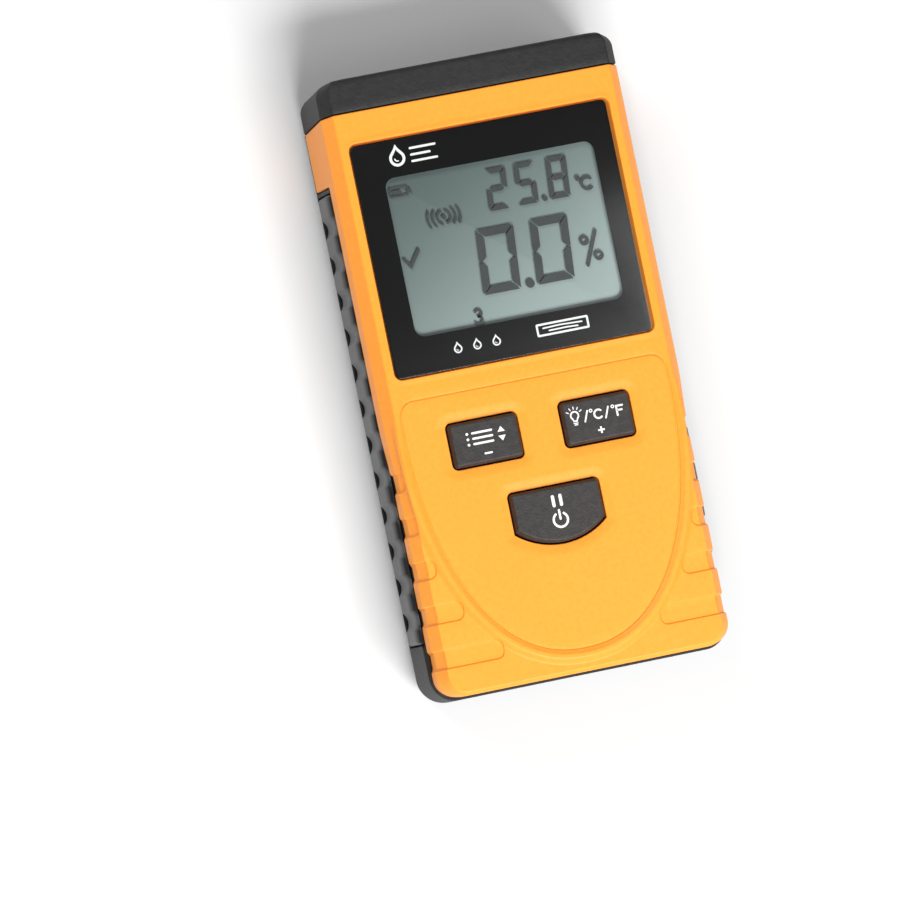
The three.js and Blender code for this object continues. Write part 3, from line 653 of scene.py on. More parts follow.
class Fold:
    """Folds a flat pattern over the case's edges, with relief along the surface's normal."""

    def __init__(self, crease, corner, z, turned, side, tail, relief=None):
        self.crease, self.corner, self.z, self.turned = crease, corner, z, turned
        self.side, self.tail, self.relief = side, tail, relief

    def base(self, x, y):
        """Where the bare fold puts the pattern's points."""
        qx = np.abs(x) - self.crease[0] + self.corner
        qy = -y - self.crease[1] + self.corner
        both = (qx > 0) & (qy > 0)
        length = np.where(both, np.hypot(qx, qy), np.maximum(qx, qy))
        safe = np.where(both, length, 1)
        nx = np.where(both, qx / safe, (qx > qy).astype(float))
        ny = np.where(both, qy / safe, (qx <= qy).astype(float))
        s = length - self.corner
        weight = nx * nx
        edge = weight[..., None] * self.side(s) + (1 - weight)[..., None] * self.tail(s)
        out, down = edge[..., 0] - s, edge[..., 1]
        flat = s < -FLAT_RUN
        out = np.where(flat, 0, out)
        return np.stack([x + np.sign(x) * nx * out, y - ny * out, self.z - self.turned * down], -1)

    def normal(self, x, y, step=0.02):
        """The outward normals of the bare fold, from points a small step apart."""
        along = self.base(x + step, y) - self.base(x - step, y)
        across = self.base(x, y + step) - self.base(x, y - step)
        normal = np.cross(along, across)
        return self.turned * normal / np.linalg.norm(normal, axis=-1)[..., None]

    def __call__(self, x, y):
        point = self.base(x, y)
        if self.relief is not None:
            point = point + self.relief(x, y)[..., None] * self.normal(x, y)
        return point


front_crease = (half_x - DRAFT - BEVEL_WIDTH, tail_y - TAIL_EDGE)
back_crease = (half_x - BACK_EDGE_WIDTH, tail_y - BACK_EDGE_WIDTH)
FRONT_CORNER = TAIL_CORNER - 1.7
BACK_CORNER = TAIL_CORNER - BACK_EDGE_WIDTH
print("crease", front_crease, "bevel run", round(bevel_run, 2))


def edge_round(distance, radius):
    """The drop of a surface close to its own edge, as a quarter circle."""
    share = np.clip(1 - distance / radius, 0, 1)
    return -radius * (1 - np.sqrt(1 - share * share))


EDGE_STEPS = (0.06, 0.3, 0.65, 1)

# %% [markdown]
# ## The front cover
#
# The yellow cover carries all the styling: a raised shield panel with a thin line and a rib
# round it, five shallow finger grooves that run out over each side, a faint lip round the
# window, and a soft dish round each key. On the real tool these are cut into one mould. Here
# each is a small height added along the surface, a function of the distance to its outline.

# %% Front cover features
CAP_HEIGHT, LEAN, CAP_FILLET = 8.1, 0.065, 1.2
SKIRT_Y = 46.5
LOWER_EDGE_RADIUS = 0.3
OPENING_EDGE_RADIUS = 0.22

WINDOW_GAP = 0.3
LIP_HEIGHT, LIP_WIDTH = 0.14, 1.5
KEY_GAP, KEY_FLANGE = 0.35, 0.6
DISH_DEPTH, DISH_WIDTH = 0.42, 2.6

GROOVE_WIDTH, GROOVE_DEPTH, GROOVE_SIDE_DEPTH, GROOVE_EDGE = 4.6, 0.4, 0.5, 0.45
GROOVE_CORNER = 1.8
GROOVE_FIRST_Y, GROOVE_PITCH = -20.4, 9.96
GROOVE_TIPS = (32.9, 31.3, 29.0, 24.8, 17.7)

SHIELD_HALF_X, SHIELD_REACH, SHIELD_CENTRE_Y, SHIELD_POWER = 31.8, 56, -9, 2.2
SHIELD_TOP_Y, SHIELD_TOP_CORNER = -3.3, 3.2
LINE_INSET, LINE_DEPTH, LINE_HALF_WIDTH = 1.4, 0.36, 0.36
RIB_RISE, FIELD_DROP = 0.45, 0.6

window_middle_x_y = (0, (window_low[1] + window_high[1]) / 2)
window_half = (window_high[:2] - window_low[:2]) / 2 + WINDOW_GAP
WINDOW_CORNER = 1.8
KEY_CORNER = 1.3
HOLD_SHOULDER = -36.6


def key_frame(name):
    """The middle and half size of a key's opening, from the key's flange."""
    low, high = span(name)
    middle = (low[:2] + high[:2]) / 2
    return middle, (high[:2] - low[:2]) / 2 - KEY_FLANGE


def hold_outline(grow, steps=40):
    """The power key: a flat top, straight shoulders, and one broad arc for its lower edge."""
    middle, half = key_frame("key_hold")
    half_width = half[0] + grow
    top, tip = middle[1] + half[1] + grow, middle[1] - half[1] - grow
    sag = HOLD_SHOULDER - (middle[1] - half[1])
    radius = (half_width**2 + sag**2) / (2 * sag)
    spread = math.asin(half_width / radius)
    sweep = np.linspace(-spread, spread, steps + 1)
    arc = np.stack([radius * np.sin(sweep), tip + radius - radius * np.cos(sweep)], 1)
    corner = max(KEY_CORNER - 0.1 + grow, 0.1)
    turn = np.linspace(0, math.pi / 2, 7)
    quarter = corner * np.stack([np.cos(turn), np.sin(turn)], 1)
    right_top = quarter + (half_width - corner, top - corner)
    left_top = right_top[::-1] * (-1, 1)
    return np.concatenate([arc, right_top, left_top])


def shield_half(grow):
    """The lower curve of the shield from its right side round to its left, half an oval."""
    angles = np.linspace(0, math.pi, 121)
    cosines, sines = np.cos(angles), np.sin(angles)
    x = (SHIELD_HALF_X + grow) * np.sign(cosines) * np.abs(cosines) ** (2 / SHIELD_POWER)
    y = SHIELD_CENTRE_Y - (SHIELD_REACH + grow) * np.abs(sines) ** (2 / SHIELD_POWER)
    return np.stack([x, y], 1)


def shield_crest(grow):
    """The rib's crest: the oval with its two ends run straight up past the window."""
    curve = shield_half(grow)
    return np.concatenate([[[curve[0][0], 20]], curve, [[curve[-1][0], 20]]])


def shield_line(grow):
    """The closed outline of the thin line, square shouldered with round corners at the top."""
    curve = shield_half(grow - LINE_INSET)
    half, top = SHIELD_HALF_X + grow - LINE_INSET, SHIELD_TOP_Y + grow
    corner = SHIELD_TOP_CORNER
    turn = np.linspace(math.pi / 2, 0, 7)
    quarter = corner * np.stack([np.cos(turn), np.sin(turn)], 1)
    right_top = quarter + (half - corner, top - corner)
    left_top = right_top[::-1] * (-1, 1)
    return np.concatenate([curve, left_top, right_top])


def groove_distance(x, y, tip, middle_y):
    """Signed distance to a groove, open towards the side, negative inside."""
    qx = tip + GROOVE_CORNER - np.abs(x)
    qy = np.abs(y - middle_y) - GROOVE_WIDTH / 2 + GROOVE_CORNER
    outside = np.hypot(np.maximum(qx, 0), np.maximum(qy, 0))
    return outside + np.minimum(np.maximum(qx, qy), 0) - GROOVE_CORNER


grooves = [(tip, GROOVE_FIRST_Y - i * GROOVE_PITCH) for i, tip in enumerate(GROOVE_TIPS)]
small_keys = [key_frame(name) for name in ("key_select", "key_light")]


def opening_distances(x, y):
    """Distances outside the window and outside the nearest key opening."""
    window = box_distance(x, y, window_middle_x_y, window_half, WINDOW_CORNER)
    keys = [box_distance(x, y, middle, half, KEY_CORNER) for middle, half in small_keys]
    hold = hold_outline(0)
    keys.append(distance_to(hold, x, y) * np.where(inside(hold, x, y), -1, 1))
    return window, np.minimum.reduce(keys)


def front_relief(x, y):
    """The height of the front's outside above its bare fold."""
    window, keys = opening_distances(x, y)
    height = LIP_HEIGHT * (1 - smooth(0.1, LIP_WIDTH, window))
    height = height - DISH_DEPTH * (1 - smooth(-0.2, DISH_WIDTH, keys))

    crest = shield_crest(0)
    within = (np.abs(x) < SHIELD_HALF_X) & (y > SHIELD_CENTRE_Y)
    within |= inside(shield_half(0), x, y)
    away = distance_to(crest, x, y, closed=False) * np.where(within, -1, 1)
    fade = smooth(-6, -22, y)
    rise = RIB_RISE * smooth(-4, -14, y)
    height = height + rise * smooth(-1.15, 0.0, away)
    height = height - (rise + FIELD_DROP * fade) * smooth(0.35, 2.2, away)
    line = distance_to(shield_line(0), x, y)
    height = height - LINE_DEPTH * (1 - smooth(0, LINE_HALF_WIDTH, line))

    sideways = smooth(front_crease[0] + 2, half_x + 3, np.abs(x))
    depth = GROOVE_DEPTH + (GROOVE_SIDE_DEPTH - GROOVE_DEPTH) * sideways
    for tip, middle_y in grooves:
        floor_share = smooth(0, -GROOVE_EDGE, groove_distance(x, y, tip, middle_y))
        height = height - depth * floor_share * smooth(0.6, 1.6, np.where(away > 0, away, 0))
    height = height + edge_round(np.maximum(window, 0), OPENING_EDGE_RADIUS)
    height = height + edge_round(np.maximum(keys, 0), OPENING_EDGE_RADIUS)
    rim = distance_to(front_rim, x, y)
    return height + edge_round(rim, LOWER_EDGE_RADIUS)


print("grooves:", grooves)

# %% [markdown]
# ## The front cover's pattern
#
# The flat pattern is the cover unrolled. Its rim, its openings and every line where the relief
# changes go in as edges that the triangles must follow, which keeps grooves and ribs crisp
# without a very fine mesh everywhere.

# %% Front cover pattern
parting_y = head_y - CAP_HEIGHT
front_deep_s = down_to(front_side, face_z - skirt_z - GAP / 2)
edge_x = front_crease[0]
bevel_x = edge_x + bevel_run
low_x, deep_x = edge_x + front_low_s, edge_x + front_deep_s
tail_end = front_crease[1] + front_low_s
head_line = parting_y - GAP / 2
skirt_step = SKIRT_Y + GAP / 2
right_side = [
    [low_x, -tail_end, FRONT_CORNER + front_low_s],
    [low_x, skirt_step, 0.8],
    [deep_x, skirt_step, 0.8],
    [deep_x, head_line - LEAN * (face_z - skirt_z), 0],
    [bevel_x, head_line - LEAN * BEVEL_DEPTH, 0],
    [edge_x, head_line, 0],
]
front_corners = right_side + [[-x, y, radius] for x, y, radius in right_side[::-1]]
STEP, KEY_STEP = 0.9, 0.7
front_rim = spaced(rounded(front_corners, 10), STEP)

window_corners = rectangle(
    window_middle_x_y - window_half, window_middle_x_y + window_half, WINDOW_CORNER
)


def key_corners(key, grow=0):
    """The rounded corners of a small key's opening, moved outwards by a distance."""
    middle, half = key
    return rectangle(middle - half - grow, middle + half + grow, max(KEY_CORNER + grow, 0.1))


def groove_line(side, tip, middle_y, depth_in):
    """A line that follows a groove's edge at a depth inside it, out to the cover's rim."""
    half = GROOVE_WIDTH / 2 - depth_in
    far = low_x - 0.5
    corner = GROOVE_CORNER - depth_in
    corners = rectangle((tip + depth_in, middle_y - half), (far + 40, middle_y + half), corner)
    line = rounded(corners, 5)
    line = line[line[:, 0] < far]
    order = np.argsort(np.unwrap(np.arctan2(line[:, 1] - middle_y, tip + 2 - line[:, 0])))
    line = line[order]
    ends = [[far, line[0][1]], [far, line[-1][1]]]
    line = np.concatenate([ends[:1], line, ends[1:]])
    return line * (side, 1)


front_lines = []
for share in EDGE_STEPS:
    ring = rounded(moved_in(front_corners, share * LOWER_EDGE_RADIUS), 10)
    front_lines.append((spaced(ring, STEP), True))
opening_steps = [share * OPENING_EDGE_RADIUS for share in EDGE_STEPS]
for grow in [*opening_steps, 0.6, 1.05, LIP_WIDTH]:
    ring = rounded(moved_in(window_corners, -grow), 6)
    front_lines.append((spaced(ring, STEP), True))
for grow in [*opening_steps, 0.65, 1.1, 1.6, 2.1, DISH_WIDTH]:
    for key in small_keys:
        front_lines.append((spaced(rounded(key_corners(key, grow), 6), KEY_STEP), True))
    front_lines.append((spaced(hold_outline(grow), KEY_STEP), True))
for grow in (-1.15, -0.8, -0.4, 0, 0.35, 0.8, 1.3, 1.8, 2.2):
    front_lines.append((spaced(shield_crest(grow)[1:-1], STEP, False), False))
for grow in np.linspace(-LINE_HALF_WIDTH, LINE_HALF_WIDTH, 5):
    front_lines.append((spaced(shield_line(grow), STEP), True))
for side in (-1, 1):
    for tip, middle_y in grooves:
        for share in (0, 0.35, 0.65, 1):
            line = groove_line(side, tip, middle_y, share * GROOVE_EDGE)
            front_lines.append((spaced(line, STEP, False), False))


def fold_lines(crease, corner, levels, top):
    """Lines along the case at pattern distances from the crease, round the tail."""
    lines = []
    for s in levels:
        right = [crease[0] + s, top, 0]
        tail = [crease[0] + s, -crease[1] - s, corner + s]
        line = rounded([tail, right, [-right[0], top, 0], [-tail[0], tail[1], tail[2]]], 14)
        start = int(np.argmax((line[:, 1] == top) & (line[:, 0] < 0)))
        line = np.roll(line, -start, 0)
        lines.append((spaced(line, 1.2, False), False))
    return lines


crease_levels = [-0.6, -0.4, -0.2, 0, 0.2, 0.4, 0.6]
crease_levels += [tail_knots(TAIL_EDGE)[2] + away for away in (-0.55, -0.3, 0, 0.3, 0.55)]
foot_levels = [bevel_run + away for away in (-0.3, -0.1, 0.1, 0.3)]
front_lines += fold_lines(front_crease, FRONT_CORNER, crease_levels + foot_levels, head_line - 1)

front_holes = [spaced(rounded(window_corners), STEP)]
front_holes += [spaced(rounded(key_corners(key)), KEY_STEP) for key in small_keys]
front_holes.append(spaced(hold_outline(0), KEY_STEP))
front_flat, front_faces = fill(front_rim, front_holes, front_lines, 1.6)
print("front pattern:", len(front_flat), "points,", len(front_faces), "triangles")

# %% [markdown]
# ## The front cover's sheet
#
# Folding the pattern over the case's edges gives the outer skin, and a second fold with
# tighter bends gives the inner one. Walls between the two close the sheet.

# %% Front cover
front_fold = Fold(front_crease, FRONT_CORNER, face_z, 1, front_side, front_tail, front_relief)
front_inner = Fold(front_crease, FRONT_CORNER, face_z, 1, front_side_inner, front_tail_inner)
front_cover = folded_sheet(
    "cover_front", front_flat, front_faces, front_fold, front_inner, yellow_shell
)
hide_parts("front_cover")

# %% [markdown]
# ## The head cap
#
# The black cap closes the head. Its outside is the same section as the case, carried past the
# parting line, leaning back a little, with a small rounding along its front edge and larger
# ones on its corners and along its back. It ends a little inside the design's box, as the real
# one is slightly shorter. Rings of the section make it. In the last rings every side is drawn
# in by its own radius, and each point travels towards the middle until it clears all sides, so
# the roundings meet in clean mitres.

# %% Head cap
def section(inset):
    """The case's cross-section, anticlockwise from the middle of the face, drawn in by inset."""
    arcs = (-0.4, -0.25, -0.1, 0.1, 0.25, 0.4)
    feet = [bevel_run + a for a in (-0.35, -0.2, 0, 0.2, 0.35)]
    wall = np.linspace(bevel_run + 2, down_to(front_side, wall_down - BACK_EDGE_DEPTH), 3)
    s = np.array([-FLAT_RUN, *arcs, *feet, *wall])
    if inset:
        profile, back = front_side_inner(s), back_side_inner
    else:
        profile, back = front_side(s), back_side
    front = np.stack([edge_x + profile[:, 0], face_z - profile[:, 1]], 1)
    rear_s = np.linspace(back_arc_run, 0, 9)[1:]
    rear = back(rear_s)
    rear = np.stack([back_crease[0] + rear[:, 0], back_z + rear[:, 1]], 1)
    half = np.concatenate([front, rear])
    flats = np.linspace(0.75, -0.75, 7)
    bottom = np.stack([half[-1][0] * flats, np.full(7, half[-1][1])], 1)
    mirrored = half[::-1] * (-1, 1)
    top = np.stack([half[0][0] * -flats, np.full(7, half[0][1])], 1)
    return np.concatenate([half, bottom, mirrored, top])


CAP_CORNER, CAP_BACK = 3.4, 3.2
HEAD_SHY = 0.6
CAP_END = head_y - HEAD_SHY + LEAN * CAP_FILLET


def cap_ring(outline, y):
    """A ring of the section at a place along the case, leaning with the head."""
    return np.stack([outline[:, 0], y - LEAN * (face_z - outline[:, 1]), outline[:, 1]], 1)


outline = section(0)
middle_z = (face_z + back_z) / 2
run = np.roll(outline, -1, 0) - np.roll(outline, 1, 0)
outward = np.stack([-run[:, 1], run[:, 0]], 1) / np.hypot(*run.T)[:, None]
outward *= np.sign((outward * (outline - (0, middle_z))).sum(1).mean())
sideways, rearward = outward[:, 0] ** 2, np.clip(-outward[:, 1], 0, 1) ** 2
radius = CAP_FILLET + (CAP_CORNER - CAP_FILLET) * sideways + (CAP_BACK - CAP_FILLET) * rearward
spine_reach = edge_x - (face_z - back_z) / 2
spine_x = np.clip(outline[:, 0], -spine_reach, spine_reach)
spine = np.stack([spine_x, np.full(len(outline), middle_z)], 1)
inward = (spine - outline) / np.linalg.norm(spine - outline, axis=1)[:, None]
leaving = -(inward @ outward.T)
beyond = outline @ outward.T - (outline * outward).sum(1)


def travel(inset):
    """How far each point goes towards the spine to clear every side drawn in by its inset."""
    return np.where(leaving > 0.2, (inset + beyond) / np.maximum(leaving, 0.2), 0).max(1)


def rolled(depth):
    """The section at a depth below the end, each side drawn in by its own rounding."""
    short = np.clip(radius - depth, 0, None)
    inset = radius - np.sqrt(radius ** 2 - short ** 2)
    return outline + inward * (travel(inset) - travel(0 * inset))[:, None]


cap_start = parting_y + GAP / 2
rings = []
for angle in np.linspace(math.pi / 2, 0, 13):
    depth = CAP_CORNER * (1 - math.sin(angle))
    rings.append(cap_ring(rolled(depth), CAP_END - depth))
rings += [
    cap_ring(outline, cap_start + 1.5),
    cap_ring(outline, cap_start + 0.25),
    cap_ring(outline - outward * 0.07, cap_start + 0.07),
    cap_ring(outline - outward * 0.25, cap_start),
    cap_ring(section(WALL), cap_start),
    cap_ring(section(WALL), head_y - 2 * WALL),
]
cap_points, cap_faces = loft_parts(rings)
head_cap = piece("cap_head", cap_points, cap_faces, black_shell, "black_shell", sharp=33)
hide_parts("head_cap")

# %% [markdown]
# ## The keys
#
# Each key is a stiff cap that stands a millimetre out of its dish, with a bevelled edge that
# catches the light and a fine grain. Under it are the flange that stops it falling out and a
# plunger that pushes a carbon pill on to the board. A loft with two close rings on each side of
# the bevel keeps the flat top flat and the bevel crisp, yet softly edged.

# %% Keys
KEY_BEVEL, KEY_DROP, KEY_SOFT = 0.5, 1.0, 0.13
KEY_TOP = span("key_select")[1][2]
FLANGE_LOW, FLANGE_TOP = 22.6, 23.9
PLUNGER_RADIUS = 2.2


def key_outline(name, grow):
    """A key's outline, moved outwards by a distance."""
    if name == "key_hold":
        return hold_outline(grow, 24)
    return rounded(key_corners(key_frame(name), grow), 5)


def circle(middle, radius, count=24):
    """Points round a circle."""
    angles = np.linspace(0, 2 * math.pi, count, endpoint=False)
    return np.stack([middle[0] + radius * np.cos(angles), middle[1] + radius * np.sin(angles)], 1)


def key_cap(name):
    """A key from its flange to its top, and the plunger under it."""
    low, _ = span(name)
    fit, soft = -KEY_GAP, KEY_SOFT
    shoulder, brim = KEY_TOP - KEY_DROP, fit - KEY_BEVEL
    steps = [
        (KEY_FLANGE, FLANGE_LOW),
        (KEY_FLANGE, FLANGE_TOP),
        (fit, FLANGE_TOP),
        (fit, shoulder - soft),
        (fit - soft * 0.2, shoulder + soft * 0.2),
        (brim + soft * 0.4, KEY_TOP - soft * 1.3),
        (brim - soft * 0.1, KEY_TOP - soft * 0.5),
        (brim - soft * 0.9, KEY_TOP - soft * 0.08),
        (brim - soft * 2, KEY_TOP),
        (brim - 0.5, KEY_TOP),
    ]
    cap = loft_parts([level(key_outline(name, grow), z) for grow, z in steps])
    middle = key_frame(name)[0]
    if name == "key_hold":
        middle = np.array([0, span("pill_hold")[0][1] + 1.9])
    heights = ((0.3, low[2]), (0, low[2] + 0.3), (0, 23))
    stem = [level(circle(middle, PLUNGER_RADIUS - ease), z) for ease, z in heights]
    return together(cap, loft_parts(stem))


KEY_BODIES = {"key_select": "select_button", "key_light": "light_button", "key_hold": "hold_button"}
for name, body in KEY_BODIES.items():
    made = piece("cap_" + name, *key_cap(name), key_plastic, "key_plastic", body, sharp=24)
    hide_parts(name)

# %% [markdown]
# ## Printed marks
#
# Legends are printed in white ink a few hundredths of a millimetre thick. A real printed film
# has an edge, so each mark is a very thin plate. A stroke is a line with a width, which makes
# rings, hooks, digits and arrows alike; a shape is any closed outline.

# %% Strokes and plates
def arc(middle, radius, start, end, steps=14):
    """Points along an arc between two angles in degrees."""
    angles = np.radians(np.linspace(start, end, steps + 1))
    return np.stack([middle[0] + radius * np.cos(angles), middle[1] + radius * np.sin(angles)], 1)


def stroke(line, width):
    """The closed outline of a line drawn with a width, with round ends."""
    line = np.array(line, float)
    run = np.diff(line, axis=0)
    run /= np.hypot(*run.T)[:, None]
    before, after = np.concatenate([run[:1], run]), np.concatenate([run, run[-1:]])
    normal = np.stack([-(before + after)[:, 1], (before + after)[:, 0]], 1)
    normal /= (1 + (before * after).sum(1))[:, None]
    half = width / 2
    left, right_line = line + half * normal, (line - half * normal)[::-1]
    caps = []
    for end, way in ((line[-1], run[-1]), (line[0], -run[0])):
        first = math.degrees(math.atan2(way[1], way[0])) - 90
        caps.append(arc(end, half, first, first + 180, 6)[1:-1])
    return np.concatenate([right_line[::-1], caps[0], left[::-1], caps[1]])


def plate_parts(shapes, z0, z1):
    """Thin plates: each shape is an outline, or an outline and the holes in it."""
    parts = []
    for shape in shapes:
        outline, holes = shape if isinstance(shape, tuple) else (shape, [])
        flat, faces = fill(outline, holes, [], 50)
        count = len(flat)
        points = [*level(flat, z0), *level(flat, z1)]
        solid = [tuple(count + i for i in f) for f in faces.tolist()]
        solid += [tuple(f[::-1]) for f in faces.tolist()]
        solid += [(a, b, b + count, a + count) for a, b in sorted(rim_edges(faces))]
        parts.append((points, solid))
    return together(*parts)


def placed(shapes, place, size=1.0, slant=0.0):
    """Shapes moved to a place, scaled, and slanted like italic figures."""
    def move(outline):
        x, y = (np.array(outline, float) * size).T
        return np.stack([x + slant * y + place[0], y + place[1]], 1)

    moved = []
    for shape in shapes:
        if isinstance(shape, tuple):
            moved.append((move(shape[0]), [move(hole) for hole in shape[1]]))
        else:
            moved.append(move(shape))
    return moved


def ring_shape(middle, radius, width):
    """A ring of a width, as an outline and its hole."""
    return (circle(middle, radius + width / 2, 28), [circle(middle, radius - width / 2, 28)])

print("a stroke 1 mm long has", len(stroke([(0, 0), (1, 0)], 0.3)), "points")

# %% [markdown]
# ## Figures with seven bars
#
# A liquid crystal figure is seven bars round two cells, lettered a to g from the top. Each bar
# has mitred ends and a hair of a gap to its neighbours, where the clear electrode is cut. One
# function draws any digit from the letters of its bars.

# %% Figures with seven bars
BARS = {"0": "abcdef", "2": "abged", "5": "afgcd", "8": "abcdefg"}


def figure(digit, width, height, bar, gap):
    """A digit of seven bars with mitred ends, its lower left corner at the origin."""
    w, h, t, g = width, height, bar, gap
    m = h / 2
    k = t / 2
    bars = {
        "a": [(g, h), (t + g, h - t), (w - t - g, h - t), (w - g, h)],
        "d": [(g, 0), (w - g, 0), (w - t - g, t), (t + g, t)],
        "f": [(0, h - g), (0, m + g / 2), (k, m + g), (t, m + k + g), (t, h - t - g)],
        "e": [(0, g), (t, t + g), (t, m - k - g), (k, m - g), (0, m - g / 2)],
        "b": [(w, h - g), (w - t, h - t - g), (w - t, m + k + g), (w - k, m + g), (w, m + g / 2)],
        "c": [(w, g), (w, m - g / 2), (w - k, m - g), (w - t, m - k - g), (w - t, t + g)],
        "g": [
            (k + g, m), (t + g, m - k), (w - t - g, m - k),
            (w - k - g, m), (w - t - g, m + k), (t + g, m + k),
        ],
    }
    shapes = []
    for name in BARS[digit]:
        outline = np.array(bars[name], float)
        area = np.cross(outline, np.roll(outline, -1, 0)).sum()
        shapes.append(outline if area > 0 else outline[::-1])
    return shapes


print("an eight has", len(figure("8", 5, 9, 1, 0.2)), "bars")

# %% [markdown]
# ## The display
#
# The display is a sandwich: a pale reflector, thin dark figures where the front of its glass
# would be, a clear window over them, and black ink on the window's back that frames the view.
# The figures stand a little above the reflector, so each throws the faint soft shadow that
# tells the eye that this is a liquid crystal display and not a printed card.

# %% Display finishes
def pane(name, tint, rough):
    """A clear sheet: light passes straight through, and a share of it is mirrored."""
    made = bpy.data.materials.new(name)
    made.use_nodes = True
    nodes, links = made.node_tree.nodes, made.node_tree.links
    nodes.remove(nodes["Principled BSDF"])
    place = Sock(nodes.new("ShaderNodeTexCoord").outputs["Object"])
    clear = place.node("ShaderNodeBsdfTransparent", {}, {"Color": tint})
    polish = rough + (noise(place, 30, 2) - 0.5) * 0.03
    gloss = place.node("ShaderNodeBsdfGlossy", {}, {"Color": (1, 1, 1, 1), "Roughness": polish})
    behind = place.node("ShaderNodeNewGeometry", output=6)
    grazing = place.node("ShaderNodeFresnel", {}, {"IOR": 1.49}) * (1 - behind)
    both = place.node("ShaderNodeMixShader", {}, {0: grazing, 1: clear, 2: gloss})
    links.new(both.socket, nodes["Material Output"].inputs["Surface"])
    return made


window_pane = pane("window_pane", (0.97, 0.98, 0.98, 1), 0.22)

window_ink, shader, place = finish("window_ink", Specular_IOR_Level=0.05)
connect(
    shader,
    Base_Color=mixed(noise(place, 40, 2), colour(9, 9, 10), colour(13, 13, 14)),
    Roughness=0.4 + noise(place, 300, 2) * 0.1,
)

reflector, shader, place = finish("reflector", Roughness=0.45)
across_view = place.node("ShaderNodeSeparateXYZ", {}, {"Vector": place}, output="X") / MM
along_view = place.node("ShaderNodeSeparateXYZ", {}, {"Vector": place}, output="Y") / MM
# Painted light: the reflector's colour brightens towards the right and towards the tail end of the
# view.
painted_light_gradient = smooth_step(across_view * 0.6 - along_view * 0.8, -50, 8)
sparkle = noise(place, 5200, 1)
connect(
    shader,
    Base_Color=mixed(painted_light_gradient + (sparkle - 0.5) * 0.12, colour(86, 99, 96), colour(141, 155, 152)),
)

segment_ink, shader, place = finish("segment_ink", Roughness=0.5)
connect(shader, Base_Color=mixed(noise(place, 500), colour(52, 54, 54), colour(62, 64, 64)))

white_ink, shader, place = finish("white_ink", Roughness=0.55)
connect(
    shader,
    Base_Color=mixed(noise(place, 900), colour(238, 238, 238), colour(226, 226, 226)),
    Normal=bump(noise(place, 3000), 0.004),
)

print("display finishes:", window_pane.name, window_ink.name, reflector.name, segment_ink.name)

# %% [markdown]
# ## The window and its ink
#
# The window is a clear plate with polished, eased edges that lies in the cover's opening. Its
# black border is printed on its back, so it looks deep and glossy. The ink is a very thin plate
# with a hole for the view, just below the clear one, so the two never share a face.

# %% Display window and its ink
PRINT_Z = window_low[2] + 0.08
PANE_EDGE = 0.12
pane_corners = rectangle(window_low, window_high, WINDOW_CORNER - WINDOW_GAP)
pane_mesh = slab(pane_corners, PRINT_Z + 0.06, window_high[2], 0.03, 6, PANE_EDGE)
pane_piece = piece("window_clear", *pane_mesh, window_pane, "window", sharp=50)
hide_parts("display_window")

VIEW_LOW, VIEW_HIGH, VIEW_CORNER = (-22.9, 10.05), (24.7, 45.6), 2.2
ink_outline = rounded(moved_in(pane_corners, 0.05), 6)
view_outline = rounded(rectangle(VIEW_LOW, VIEW_HIGH, VIEW_CORNER), 8)
mask = plate_parts([(ink_outline, [view_outline])], window_low[2], PRINT_Z)
piece("window_print", *mask, window_ink, "window", sharp=50)

# %% [markdown]
# ## The reflector
#
# Behind the glass is a pale, faintly green reflector. It stands for the whole display block of
# the design, and stops short of its top to leave room for the figures over it.

# %% Reflector
panel_low, panel_high = span("lcd_panel")
REFLECTOR_TOP = panel_high[2] - 0.55
back_plate = slab(rectangle(panel_low, panel_high, 0.4), panel_low[2], REFLECTOR_TOP, 0.05)
reflector_piece = piece("lcd_reflector", *back_plate, reflector, "display_glass")
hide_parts("lcd_panel")

# %% [markdown]
# ## Figures and symbols of the display
#
# The display shows a temperature, a moisture share, a tick, a battery, sound waves and a small
# timber group number. Places are measured from the middle of the window. The figures lie some
# way under it, so all of them move by the same small shift to look centred from above.

# %% Figures and symbols of the display
FIGURE_Z = (panel_high[2] - 0.03, panel_high[2])
middle_y = window_middle_x_y[1]
DEPTH_SHIFT = np.array([0.49, 0.13])
SLANT = 0.075


def at(x, y):
    """A place in the display, measured from the middle of the window."""
    return np.array([x, y + middle_y]) + DEPTH_SHIFT


symbols = []
TEMPERATURE = (("2", -1.0), ("5", 5.6), ("8", 12.9))
for digit, x in TEMPERATURE:
    symbols += placed(figure(digit, 4.7, 9.3, 1.15, 0.16), at(x - 0.5, 6.3), 1, SLANT)
symbols += placed([circle((0, 0), 0.62, 20)], at(11.3, 6.9))
for x in (-6.0, 6.3):
    symbols += placed(figure("0", 8.6, 14.4, 1.75, 0.22), at(x - 0.6, -11.6), 1, SLANT)
symbols += placed([circle((0, 0), 1.0, 24)], at(4.2, -10.9))
three = [
    stroke(arc((0, 0.8), 0.75, 150, -90), 0.55),
    stroke(arc((0, -0.75), 0.82, 90, -150), 0.55),
]
symbols += placed(three, at(-8.7, -16.0), 1, SLANT)

percent = [
    ring_shape((-1.25, 1.9), 0.8, 0.62),
    ring_shape((1.35, -1.9), 0.8, 0.62),
    stroke([(-1.5, -3.6), (1.6, 3.6)], 0.75),
]
symbols += placed(percent, at(19.3, -5.8))
degree = [
    ring_shape((-1.5, 1.25), 0.42, 0.38),
    stroke(arc((0.45, -0.15), 1.3, 50, 310), 0.68),
]
symbols += placed(degree, at(20.9, 8.6))

